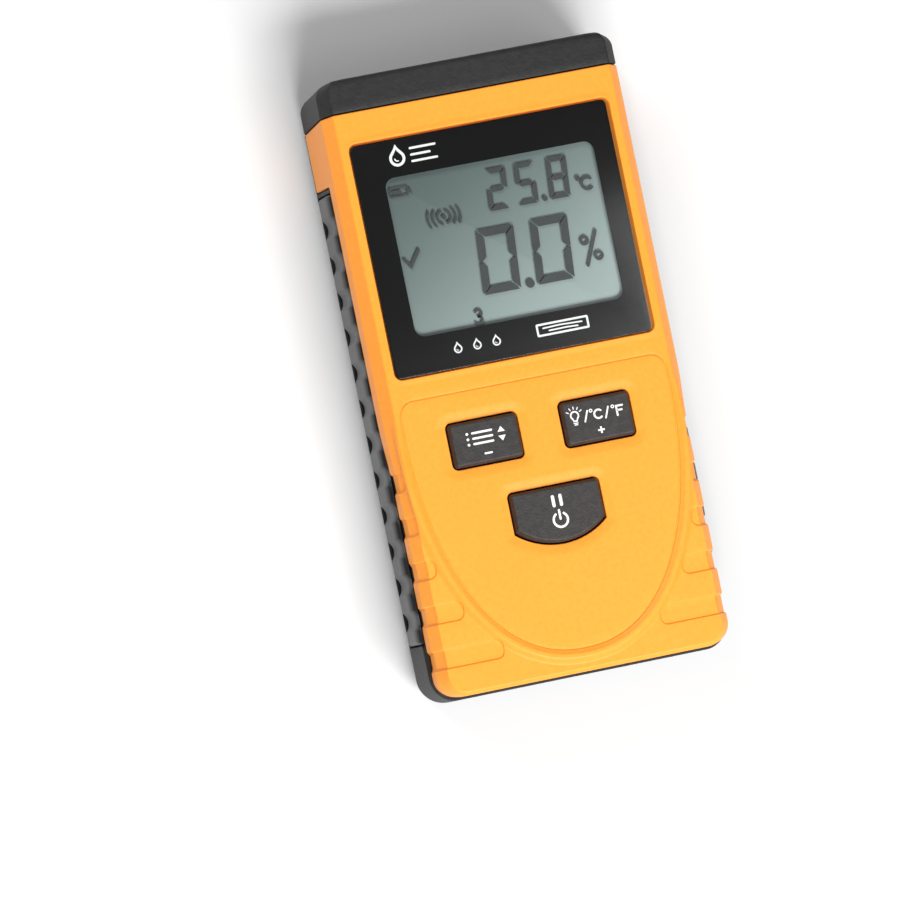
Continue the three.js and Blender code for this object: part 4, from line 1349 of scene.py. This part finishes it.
tick = [stroke([(-1.7, 0.2), (-0.5, -1.5), (1.8, 1.8)], 0.75)]
symbols += placed(tick, at(-20.7, -0.8))
battery_case = rounded(rectangle((-2.4, -1.1), (2.0, 1.1), 0.3), 3)
battery_inside = rounded(rectangle((-2.05, -0.75), (1.65, 0.75), 0.1), 3)
battery = [
    (battery_case, [battery_inside]),
    rounded(rectangle((2.05, -0.5), (2.6, 0.5), 0.1), 3),
    rounded([[-1.8, -0.5, 0.1], [0.5, -0.5, 0.1], [0.2, 0.5, 0.1], [-1.8, 0.5, 0.1]], 3),
]
symbols += placed(battery, at(-20.4, 14.3), 1, 0.05)
wave = [circle((0, 0), 0.55, 16)]
for radius in (1.5, 2.6, 3.7):
    reach = 0.45 * 3.7 / radius * 62
    wave += [stroke(arc((0, 0), radius, way - reach, way + reach, 8), 0.55) for way in (0, 180)]
symbols += placed(wave, at(-11.8, 7.0))
piece("lcd_figures", *plate_parts(symbols, *FIGURE_Z), segment_ink, "display_glass", sharp=40)

# %% [markdown]
# ## Marks on the window
#
# White marks are printed on the window's back before the black, so they show through it: a
# drop with three lines at the top, and three drops and a grained plank at the bottom, which
# say what the meter measures. All are thin plates of white ink just over the black one.

# %% Marks on the window
INK_TOP = PRINT_Z + 0.04
drop_edge = np.concatenate([arc((0, 0), 1.9, -215, 35, 22), [(0.55, 2.3), (0, 3.3), (-0.55, 2.3)]])
drop_core = np.concatenate([arc((0, 0), 1.25, -208, 28, 22), [(0.3, 1.6), (0, 2.1), (-0.3, 1.6)]])
shine = stroke(arc((0, 0), 0.62, 190, 280, 6), 0.32)


def drop(place, size):
    """A drop of water with a shine in it."""
    return placed([(drop_edge, [drop_core]), shine], place, size)


def on_window(x, y):
    """A place on the window's back, measured from the middle of the window."""
    return np.array([x, y + middle_y]) + (0.36, 0.1)


marks = drop(on_window(-19.4, 21.6), 0.95)
for i, length in enumerate((5.6, 4.2, 5.6)):
    marks += placed([stroke([(0, 0), (length, 0)], 0.5)], on_window(-16.2, 23.3 - 1.45 * i))
for i in range(3):
    marks += drop(on_window(-14.6 + 4.4 * i, -22.0), 0.5)
plank = rounded(rectangle((-4.6, -1.1), (4.6, 1.1), 0.25), 4)
plank_hole = rounded(rectangle((-4.25, -0.75), (4.25, 0.75), 0.1), 4)
grain_lines = [
    stroke([(-3.4, 0.25), (-0.5, 0.35), (3.4, 0.2)], 0.25),
    stroke([(-2.4, -0.3), (0.6, -0.25), (2.6, -0.35)], 0.25),
]
marks += placed([(plank, [plank_hole]), *grain_lines], on_window(9.4, -21.5), 1.3)
piece("window_marks", *plate_parts(marks, PRINT_Z, INK_TOP), white_ink, "white_plastic", sharp=40)

# %% [markdown]
# ## Marks on the keys
#
# Pad printing puts the same white ink on the key tops: a list with two arrows and a minus, a
# lamp with the two degree units and a plus, and two pause bars with the power symbol. They
# ride with their key when it is pressed.

# %% Marks on the keys
LEGEND_Z = (KEY_TOP - 0.01, KEY_TOP + 0.03)
select_middle, light_middle, hold_middle = (key_frame(name)[0] for name in KEY_BODIES)

list_icon = []
for i in range(3):
    row = 1.0 - i
    list_icon += [circle((-3.4, row), 0.26, 14), stroke([(-2.4, row), (1.2, row)], 0.4)]
list_icon += [
    np.array([(2.3, 0.35), (3.7, 0.35), (3.0, 1.35)]),
    np.array([(2.3, -0.35), (3.0, -1.35), (3.7, -0.35)]),
]
select_marks = placed(list_icon, select_middle + (0.1, 0.9), 1.2)
select_marks += placed([stroke([(-0.75, 0), (0.75, 0)], 0.42)], select_middle + (0, -2.75))

bulb_neck = [(-0.5, -0.75), (-0.5, -1.0), (0.5, -1.0), (0.5, -0.75)]
bulb_edge = np.concatenate([arc((0, 0.4), 1.05, -50, 230, 18), bulb_neck])
bulb_core = np.concatenate([arc((0, 0.4), 0.7, -52, 232, 18), [(-0.25, -0.65), (0.25, -0.65)]])
bulb = [
    (bulb_edge, [bulb_core]),
    stroke([(-0.45, -1.3), (0.45, -1.3)], 0.24),
    stroke([(-0.3, -1.65), (0.3, -1.65)], 0.24),
]
for angle in (30, 60, 90, 120, 150):
    near, far = (arc((0, 0.4), radius, angle, angle, 0) for radius in (1.45, 1.95))
    bulb.append(stroke([*near, *far], 0.22))
slash = [stroke([(-0.45, -1.15), (0.45, 1.15)], 0.36)]
celsius = [ring_shape((-1.25, 1.0), 0.3, 0.24), stroke(arc((0.35, 0), 0.95, 48, 312), 0.42)]
fahrenheit = [
    ring_shape((-1.25, 1.0), 0.3, 0.24),
    stroke([(-0.45, -1.1), (-0.45, 0.95), (0.95, 0.95)], 0.42),
    stroke([(-0.3, 0), (0.7, 0)], 0.42),
]
light_marks = placed(bulb, light_middle + (-5.1, 1.15))
light_marks += placed(slash, light_middle + (-2.55, 0.95))
light_marks += placed(celsius, light_middle + (-0.1, 0.95))
light_marks += placed(slash, light_middle + (2.2, 0.95))
light_marks += placed(fahrenheit, light_middle + (4.9, 0.95))
quarter_cross = np.array([(0.75, -0.2), (0.75, 0.2), (0.2, 0.2)])
quarter_turns = [[[c, s], [-s, c]] for c, s in ((1, 0), (0, 1), (-1, 0), (0, -1))]
cross = np.concatenate([quarter_cross @ turn for turn in quarter_turns])
light_marks += placed([cross], light_middle + (0.2, -2.6))

pause = [stroke([(x, -1.0), (x, 1.0)], 0.72) for x in (-0.85, 0.85)]
hold_marks = placed(pause, hold_middle + (0, 2.9))
power = [stroke(arc((0, 0), 1.6, 125, 415, 24), 0.5), stroke([(0, 0.2), (0, 2.1)], 0.5)]
hold_marks += placed(power, hold_middle + (0, -1.35))
legends = {"select": select_marks, "light": light_marks, "hold": hold_marks}
for name, marks in legends.items():
    legend = plate_parts(marks, *LEGEND_Z)
    piece("legend_" + name, *legend, white_ink, "white_plastic", name + "_button", sharp=40)

# %% [markdown]
# ## The side grips
#
# A strip of soft rubber is moulded into each side, cut by round scallops for the fingers. Its
# outline is a formula along the strip, lofted over its height with full, rounded edges, because
# a glossy rubber edge is what the eye picks out of a dark side.

# %% Side grips
SCALLOP_PITCH, SCALLOP_FIRST_Y, SCALLOP_COUNT = 8.05, 38.1, 12
SCALLOP_WIDTH, SCALLOP_DEPTH = 4.4, 0.9
GRIP_END = 1.0
GRIP_LEVELS = ((0, 0.8), (0.3, 0.5), (0.8, 0.22), (1.6, 0.05), (2.6, 0), (9.0, 0), (10.0, 0.03),
               (10.9, 0.14), (11.6, 0.34), (12.1, 0.62), (12.4, 0.95))


def scallops(y):
    """How far the outer face of a grip is cut back along its length, with soft shoulders."""
    radius = (SCALLOP_WIDTH**2 / 4 + SCALLOP_DEPTH**2) / (2 * SCALLOP_DEPTH)
    nearest = np.round((SCALLOP_FIRST_Y - y) / SCALLOP_PITCH).clip(0, SCALLOP_COUNT - 1)
    away = y - (SCALLOP_FIRST_Y - nearest * SCALLOP_PITCH)
    depth = np.sqrt(np.maximum(radius**2 - away**2, 0)) - (radius - SCALLOP_DEPTH)
    depth = np.maximum(depth, -1)
    return (depth + np.sqrt(depth**2 + 0.006)) / 2


def side_grip(name, side):
    low, high = span("side_grip_right")
    y = np.linspace(low[1], high[1], 420)
    ends = np.minimum(y - low[1], high[1] - y)
    face = high[0] - scallops(y) + edge_round(ends, GRIP_END)
    rings = []
    for up, drawn in GRIP_LEVELS:
        outer = np.stack([np.maximum(face - drawn, low[0] + 0.02), y], 1)
        ring = np.concatenate([[(low[0], low[1])], outer, [(low[0], high[1])]])
        ring = ring * (side, 1)
        rings.append(level(ring[::side], low[2] + up))
    made = piece("grip_" + name, *loft_parts(rings), grip_rubber, "grip_rubber", sharp=50)
    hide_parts("side_grip_" + name)


side_grip("left", -1)
side_grip("right", 1)

# %% [markdown]
# ## The back cover
#
# The back is the same kind of sheet as the front, folded the other way over broad elliptical
# edges. It has two heel feet, sunk screw holes, a pocket for each grip, the slot that the
# battery door slides in, and the opening that the sensing pad plugs into. The sheet's inner
# skin steps back beside the slot, which leaves the grooves that the door's tongues run in.

# %% Back cover features
_, door_high = span("battery_door")
pad_low, pad_high = span("sensor_pad")
TONGUE = 1.5
TONGUE_CLEARANCE_Z = 2.2
FOOT_HEIGHT, FOOT_EDGE = 1.2, 0.3
FEET = [((side * 25.8, -63.7), (3.4, 2.3)) for side in (-1, 1)]
PLUG_INSET = 2.5
SCREW_RADIUS = 2.7
POCKET_X, POCKET_EDGE = 33.1, 0.3
HOLE_EDGE = 0.25

back_low_s = down_to(back_side, split_z - GAP / 2 - back_z)
back_deep_s = down_to(back_side, skirt_z - GAP / 2 - back_z)
pocket_s = down_to(back_side, 5.3 - back_z)
back_x = back_crease[0]
back_right = [
    [back_x + back_low_s, -back_crease[1] - back_low_s, BACK_CORNER + back_low_s],
    [back_x + back_low_s, SKIRT_Y - GAP / 2, 0.8],
    [back_x + back_deep_s, SKIRT_Y - GAP / 2, 0.8],
    [back_x + back_deep_s, head_line - LEAN * (face_z - skirt_z), 0],
    [back_x, head_line - LEAN * (face_z - back_z), 0],
]
back_corners = back_right + [[-x, y, radius] for x, y, radius in back_right[::-1]]
back_rim = spaced(rounded(back_corners, 12), 1.1)

slot_half = door_high[0] - TONGUE + GAP
slot_end = back_crease[1] + down_to(back_tail, 3.35 - back_z)
slot_corners = rectangle((-slot_half, -slot_end), (slot_half, door_high[1] + GAP), 0.4)
plug_grow = PLUG_INSET - GAP
plug_corners = rectangle(pad_low[:2] + plug_grow, pad_high[:2] - plug_grow, 0.6)
screws = [span(f"case_screw_{i}") for i in (1, 2, 3, 4)]
screw_places = [(low[:2] + high[:2]) / 2 for low, high in screws]
grip_low, grip_high = span("side_grip_right")
pocket_y = (grip_low[1] - GAP, grip_high[1] + GAP)


def hole_lines(grow):
    """The outlines of every opening in the back, moved outwards by a distance."""
    lines = [rounded(moved_in(corners, -grow), 4) for corners in (slot_corners, plug_corners)]
    return lines + [circle(place, SCREW_RADIUS + grow, 36) for place in screw_places]


def back_relief(x, y):
    """The height of the back's outside above its bare fold."""
    height = np.zeros(x.shape)
    for middle, half in FEET:
        height = height + FOOT_HEIGHT * smooth(0, -FOOT_EDGE, box_distance(x, y, middle, half, 0.6))
    into = np.minimum.reduce([np.abs(x) - back_x - pocket_s, y - pocket_y[0], pocket_y[1] - y])
    sunk = np.abs(back_bare.base(x, y)[..., 0]) - POCKET_X
    height = height - np.maximum(sunk, 0) * smooth(0, POCKET_EDGE, into)
    holes = np.minimum.reduce([distance_to(line, x, y) for line in hole_lines(0)])
    height = height + edge_round(holes, HOLE_EDGE)
    return height + edge_round(distance_to(back_rim, x, y), LOWER_EDGE_RADIUS)


def tongue_groove(x, y):
    """The inner skin moves outwards beside the slot, so that the door's tongues fit."""
    beside = (np.abs(x) < slot_half + TONGUE) & (y < door_high[1] + GAP)
    return np.where(beside, back_z + WALL - TONGUE_CLEARANCE_Z, 0)


back_bare = Fold(back_crease, BACK_CORNER, back_z, -1, back_side, back_tail)
back_fold = Fold(back_crease, BACK_CORNER, back_z, -1, back_side, back_tail, back_relief)
back_inner = Fold(
    back_crease, BACK_CORNER, back_z, -1, back_side_inner, back_tail_inner, tongue_groove
)

print("door slot", round(2 * slot_half, 2), "mm wide;", len(screw_places), "screw holes")

# %% [markdown]
# ## The back cover's pattern and sheet
#
# The pattern gets a line round every edge, foot and pocket, so that the triangles change
# direction exactly where the surface does, and then it is filled and folded like the front.

# %% Back cover
back_lines = []
for share in EDGE_STEPS:
    ring = rounded(moved_in(back_corners, share * LOWER_EDGE_RADIUS), 12)
    back_lines.append((spaced(ring, 1.1), True))
    back_lines += [(spaced(line, 1.1), True) for line in hole_lines(share * HOLE_EDGE)]
for middle, half in FEET:
    corners = rectangle(np.subtract(middle, half), np.add(middle, half), 0.6)
    for depth_in in (0, 0.1, 0.2, FOOT_EDGE):
        back_lines.append((spaced(rounded(moved_in(corners, depth_in), 4), 0.8), True))
for side in (-1, 1):
    for depth_in in (0, 0.1, 0.2, POCKET_EDGE):
        near, far = back_x + pocket_s + depth_in, back_x + back_low_s - 0.35
        low_y, high_y = pocket_y[0] + depth_in, pocket_y[1] - depth_in
        pocket = np.array([(far, low_y), (near, low_y), (near, high_y), (far, high_y)])
        back_lines.append((spaced(pocket * (side, 1), 1.2, False), False))
    tongue_x = side * (slot_half + TONGUE)
    for shift in (0, 0.02):
        x = tongue_x + side * shift
        edge = np.array([(x, -slot_end), (x, door_high[1])])
        back_lines.append((spaced(edge, 2, False), False))
arc_levels = np.linspace(0, back_arc_run, 9)
back_lines += fold_lines(back_crease, BACK_CORNER, arc_levels, head_line - 3)
back_holes = [spaced(line, 1.1) for line in hole_lines(0)]
back_flat, back_faces = fill(back_rim, back_holes, back_lines, 2.0)
back_cover = folded_sheet(
    "cover_back", back_flat, back_faces, back_fold, back_inner, black_shell
)
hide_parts("back_cover")

# %% [markdown]
# ## Battery bay, screw cups and posts
#
# Inside, the mouldings carry the parts that hold the meter together: the tub that the three
# cells lie in, a cup under each case screw, the posts that the screws bite into, and the ledge
# that the window is glued to. None of it shows when the case is closed, but the bay is plain
# to see with the door off. A ring of section points turned about an axis makes each post.

# %% Inner mouldings
BAY_LOW, BAY_HIGH, BAY_ROOF, BAY_WALL = (-17.2, -65.0), (17.2, -14.6), 15.2, 1.4
BAY_FOOT = 3.45
cell_box = rectangle(BAY_LOW, BAY_HIGH, 0.6)
around_bay = moved_in(cell_box, -BAY_WALL)
bay_rings = [
    level(rounded(cell_box, 4), BAY_ROOF),
    level(rounded(cell_box, 4), BAY_FOOT + 0.2),
    level(rounded(moved_in(cell_box, -0.2), 4), BAY_FOOT),
    level(rounded(around_bay, 4), BAY_FOOT),
    level(rounded(around_bay, 4), BAY_ROOF + 0.9),
    level(rounded(moved_in(around_bay, 0.3), 4), BAY_ROOF + 1.2),
]
RAILS = (
    ((-23, -66.4), (-18.7, -11.6)),
    ((18.7, -66.4), (23, -11.6)),
    ((-18.6, -13.1), (18.6, -11.6)),
)
rail_parts = [slab(rectangle(low, high, 0.2), BAY_FOOT, 4.6) for low, high in RAILS]
piece("bay_tub", *together(loft_parts(bay_rings), *rail_parts), black_shell, "black_shell")


def revolved(profile, count=32, closed=True):
    """A skin turned round the z axis through [radius, height] points, outside first to last."""
    rings = [level(circle((0, 0), radius, count), z) for radius, z in profile]
    if closed:
        return loft_parts([*rings, rings[0]], False, False)
    return loft_parts(rings)


def shifted(parts, place):
    """The same points and faces, moved sideways to a place."""
    points, faces = parts
    return [np.asarray(p) + (*place, 0) for p in points], faces


CUP = ((2.75, 3.5), (3.9, 3.5), (3.9, 6.9), (3.7, 7.1), (1.5, 7.1), (1.5, 5.9), (2.75, 5.9))
BOSS = ((1.35, 7.4), (2.6, 7.4), (2.6, 24.7), (1.35, 24.7))
POST = ((0.95, 19.0), (2.0, 19.0), (2.0, 24.7), (0.95, 24.7))
cups = [shifted(revolved(CUP), place) for place in screw_places]
piece("screw_cups", *together(*cups), black_shell, "black_shell")
posts = [shifted(revolved(BOSS), place) for place in screw_places]
for i in (1, 2, 3, 4):
    low, high = span(f"board_screw_{i}")
    posts.append(shifted(revolved(POST, 24), (low[:2] + high[:2]) / 2))
ledge_outline = rounded(rectangle((-31.2, -0.05), (31.2, 55.85), 1.5), 4)
ledge_hole = rounded(rectangle((-27.2, 5.0), (27.2, 49.6), 0.4), 3)
posts.append(plate_parts([(ledge_outline, [ledge_hole])], 23.0, 24.75))
piece("inner_posts", *together(*posts), yellow_shell, "yellow_shell")

# %% [markdown]
# ## The battery door and the sensing pad
#
# The door is a plate that follows the case's back edge, with five thumb ridges. It slides out
# over the tail on two tongues. The sensing pad is a rubber-edged plate that stands a little
# proud, so that it and the two heel feet are what touches the floor or the wood.

# %% Battery door
RIDGE_HALF = (7.0, 0.5)
RIDGES = [(0, -61.5 + 2.2 * i) for i in range(5)]
RIDGE_HEIGHT = 0.5
door_half = door_high[0] - TONGUE
door_end = back_crease[1] + down_to(back_tail, 3.0 - back_z)
door_corners = rectangle((-door_half, -door_end), (door_half, door_high[1]), 0.4)
door_rim = spaced(rounded(door_corners, 4), 0.9)


def door_relief(x, y):
    """The height of the door's outside above its bare fold."""
    height = edge_round(distance_to(door_rim, x, y), HOLE_EDGE)
    for middle in RIDGES:
        height = height + RIDGE_HEIGHT * smooth(0, -0.4, box_distance(x, y, middle, RIDGE_HALF, 0.45))
    return height


door_lines = []
for share in EDGE_STEPS:
    ring = rounded(moved_in(door_corners, share * HOLE_EDGE), 4)
    door_lines.append((spaced(ring, 0.9), True))
for middle in RIDGES:
    corners = rectangle(np.subtract(middle, RIDGE_HALF), np.add(middle, RIDGE_HALF), 0.45)
    for depth_in in (0, 0.13, 0.26, 0.4):
        door_lines.append((spaced(rounded(moved_in(corners, depth_in), 4), 0.8), True))
for s in arc_levels[:5]:
    y = -back_crease[1] - s
    if -y < door_end - 0.1:
        edge = np.array([(-door_half + 0.3, y), (door_half - 0.3, y)])
        door_lines.append((spaced(edge, 1.2, False), False))


def door_inner(x, y):
    """The door's flat inner side."""
    point = back_bare.base(x, y)
    point[..., 2] = door_high[2]
    return point


door_fold = Fold(back_crease, BACK_CORNER, back_z, -1, back_side, back_tail, door_relief)
door_flat, door_faces = fill(door_rim, [], door_lines, 1.6)
door_piece = folded_sheet(
    "door_plate", door_flat, door_faces, door_fold, door_inner,
    black_shell, "sliding_door",
)
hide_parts("battery_door")
tongue_parts = []
for x0, x1 in ((-door_half - TONGUE, -door_half + 0.3), (door_half - 0.3, door_half + TONGUE)):
    tongue = rectangle((x0, -66.0), (x1, door_high[1]), 0.3)
    tongue_parts.append(slab(tongue, 2.5, door_high[2], 0.1))
piece("door_tongues", *together(*tongue_parts), black_shell, "black_shell", "sliding_door")

# %% [markdown]
# ## The sensing pad and the foam pads
#
# The pad's plug fills the hole in the back. Two foam pads press from inside, one on the sensing
# plate and one on the cells. Foam is cut from a sheet, so its faces are square, but its sides
# bulge a little where it is squeezed, and open cells give it a coarse, soft skin.

# %% Sensing pad and foam pads
pad_skin = moulded("pad_skin", colour(44, 44, 46), colour(54, 54, 56), 0.7, 1600, 0.05)
pad_face = slab(rectangle(pad_low, pad_high, 4), pad_low[2], back_z - 0.25, 0.35, 10, 0.1)
plug = slab(
    rectangle(pad_low[:2] + PLUG_INSET, pad_high[:2] - PLUG_INSET, 0.6), back_z - 0.3, pad_high[2], 0.1
)
pad_piece = piece("pad_plate", *together(pad_face, plug), pad_skin, "black_shell")
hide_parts("sensor_pad")


foam, shader, place = finish("foam", Roughness=0.95, Sheen_Weight=0.2)
cells = place.node("ShaderNodeTexVoronoi", {}, {"Vector": place, "Scale": 1400})
# Painted shade: each cell is darker at its middle, where the bump sinks it into an open pore.
connect(
    shader,
    Base_Color=mixed(smooth_step(cells, 0.1, 0.7), colour(34, 34, 36), colour(70, 70, 74)),
    Normal=bump(cells, 0.2),
)


def foam_block(name, node, body, crown):
    """A cut foam block: soft edges, and faces that bulge a little where nothing presses them."""
    low, high = span(node)
    rings = []
    height = high[2] - low[2]
    for share in np.linspace(0, 1, 9):
        belly = crown * (math.sin(math.pi * share) ** 0.6 - 1)
        corners = moved_in(rectangle(low, high, 1.2), -belly)
        outline = spaced(rounded(corners, 5), 1.0)
        rings.append(level(outline, low[2] + height * share))
    block = piece(name, *loft_parts(rings), foam, "foam", body, sharp=60)
    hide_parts(node)


foam_block("foam_door", "door_foam", "sliding_door", 0.15)
foam_block("foam_sensor", "sensor_foam", "housing", 0.5)

# %% [markdown]
# ## The cells
#
# Each cell is a steel can with a button at one end and a printed sleeve shrunk on it, which
# turns in a little over both ends. The sleeve is a separate thin tube, so that the bright rim
# of the can shows beyond it as it does on a real cell.

# %% Cells
brushed, shader, place = finish("bright_steel", Metallic=1.0)
streaks = place.node("ShaderNodeMapping", {}, {"Vector": place, "Scale": (1, 14, 1)})
scratch = noise(streaks, 260, 4, 0.7)
connect(
    shader,
    Base_Color=mixed(scratch, colour(176, 178, 182), colour(206, 208, 210)),
    Roughness=0.22 + scratch * 0.2,
    Normal=bump(scratch, 0.004),
)
sleeve = moulded("cell_jacket", colour(38, 92, 66), colour(46, 106, 78), 0.3, 900, 0.004)
CAN = ((0.3, 0), (3.9, 0), (4.3, 0.12), (4.5, 0.45), (5.0, 0.45), (5.12, 0.6), (5.12, 42.9),
       (4.9, 43.25), (4.4, 43.45), (2.2, 43.5), (1.95, 43.6), (1.9, 44.2), (1.7, 44.45), (0.3, 44.5))
SLEEVE = ((5.14, 0.5), (5.22, 0.5), (5.25, 0.62), (5.25, 42.9), (5.05, 43.32), (4.5, 43.52),
          (4.45, 43.47), (4.98, 43.28), (5.16, 42.88))
CELL_HEIGHT_Z = 9.3
for i in (1, 2, 3):
    low, high = span(f"battery_{i}")
    facing = 1 if i != 2 else -1
    x = (low[0] + high[0]) / 2
    start = low[1] if facing > 0 else high[1]
    for name, profile, material, slot in (
        ("can", CAN, brushed, "steel"), ("sleeve", SLEEVE, sleeve, "cell_jacket"),
    ):
        points, faces = revolved(profile, 40, closed=name == "sleeve")
        lying = [(x + p[0], start + facing * p[2], CELL_HEIGHT_Z - facing * p[1]) for p in points]
        made = piece(f"cell_{name}_{i}", lying, faces, material, slot)
        if name == "can":
            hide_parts(f"battery_{i}")

# %% [markdown]
# ## Finishes of the inner parts
#
# The parts on the board keep their designed shapes and take the finish of what they are: green
# solder mask with copper tracks showing under it, glossy black chip plastic, plated steel,
# translucent silicone, matt carbon, white diffuser, and insulated wire.

# %% Inner finishes
white_plastic = moulded("white_plastic", colour(228, 229, 226), colour(238, 239, 236), 0.5, 1800, 0.006)
silicone = moulded(
    "silicone", colour(128, 132, 136), colour(146, 150, 154), 0.6, 1200, 0.01, Sheen_Weight=0.1
)
chip_black = moulded("component_black", colour(22, 23, 25), colour(32, 33, 36), 0.5, 3000, 0.012)
carbon = moulded("carbon", colour(18, 18, 18), colour(30, 30, 30), 0.85, 2600, 0.03)
wire_red = moulded("wire_red", colour(168, 28, 24), colour(188, 40, 34), 0.45, 900, 0.004)
wire_black = moulded("wire_black", colour(22, 22, 23), colour(32, 32, 34), 0.45, 900, 0.004)
wire_yellow = moulded("wire_yellow", colour(214, 164, 30), colour(230, 180, 44), 0.45, 900, 0.004)

copper, shader, place = finish("copper", Metallic=1.0)
tarnish = noise(place, 90, 4, 0.6)
connect(
    shader,
    Base_Color=mixed(tarnish, colour(206, 128, 84), colour(168, 96, 62)),
    Roughness=0.25 + tarnish * 0.25,
    Normal=bump(noise(place, 1500, 2), 0.003),
)

circuit_board, shader, place = finish("circuit_board", Coat_Weight=0.3, Coat_Roughness=0.2)
bricks = {"Vector": place, "Scale": 210, "Mortar Size": 0.16}
squares = place.node("ShaderNodeTexBrick", {}, bricks, output=1)
tracks = smooth_step(noise(place, 120, 1), 0.48, 0.54) * squares
connect(
    shader,
    Base_Color=mixed(tracks, colour(20, 84, 48), colour(46, 128, 74)),
    Roughness=0.34 + noise(place, 500, 2) * 0.12,
    Normal=bump(tracks, 0.03),
)

INNER_FINISHES = {
    "case_screw": brushed, "board_screw": brushed, "contact": brushed, "crystal": brushed,
    "sensor_plate": copper, "sensor_lead": wire_yellow, "lead_red": wire_red, "lead_black": wire_black,
    "main_board": circuit_board, "mcu_chip": chip_black, "amplifier_chip": chip_black,
    "capacitor": chip_black, "buzzer": chip_black, "pill": carbon, "window_gasket": carbon,
    "lcd_frame": white_plastic, "backlight": white_plastic, "zebra_strip": silicone,
    "keypad_mat": silicone,
}
for name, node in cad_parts.items():
    for start, material in INNER_FINISHES.items():
        if name.startswith(start):
            node.material_slots[0].material = material
            break
shown = [name for name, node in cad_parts.items() if not node.hide_render]
plain = [name for name in shown if not name.startswith(tuple(INNER_FINISHES))]
print("designed nodes shown:", len(shown), "without a finish:", plain)

# %% [markdown]
# ## The floor's finish
#
# The floor is matt card with hardly any tone of its own.

# %% Floor finish
paper, shader, place = finish("paper", Roughness=0.9)
connect(shader, Base_Color=mixed(noise(place, 3), colour(226, 226, 226), colour(220, 220, 220)))
floor.data.materials.append(paper)
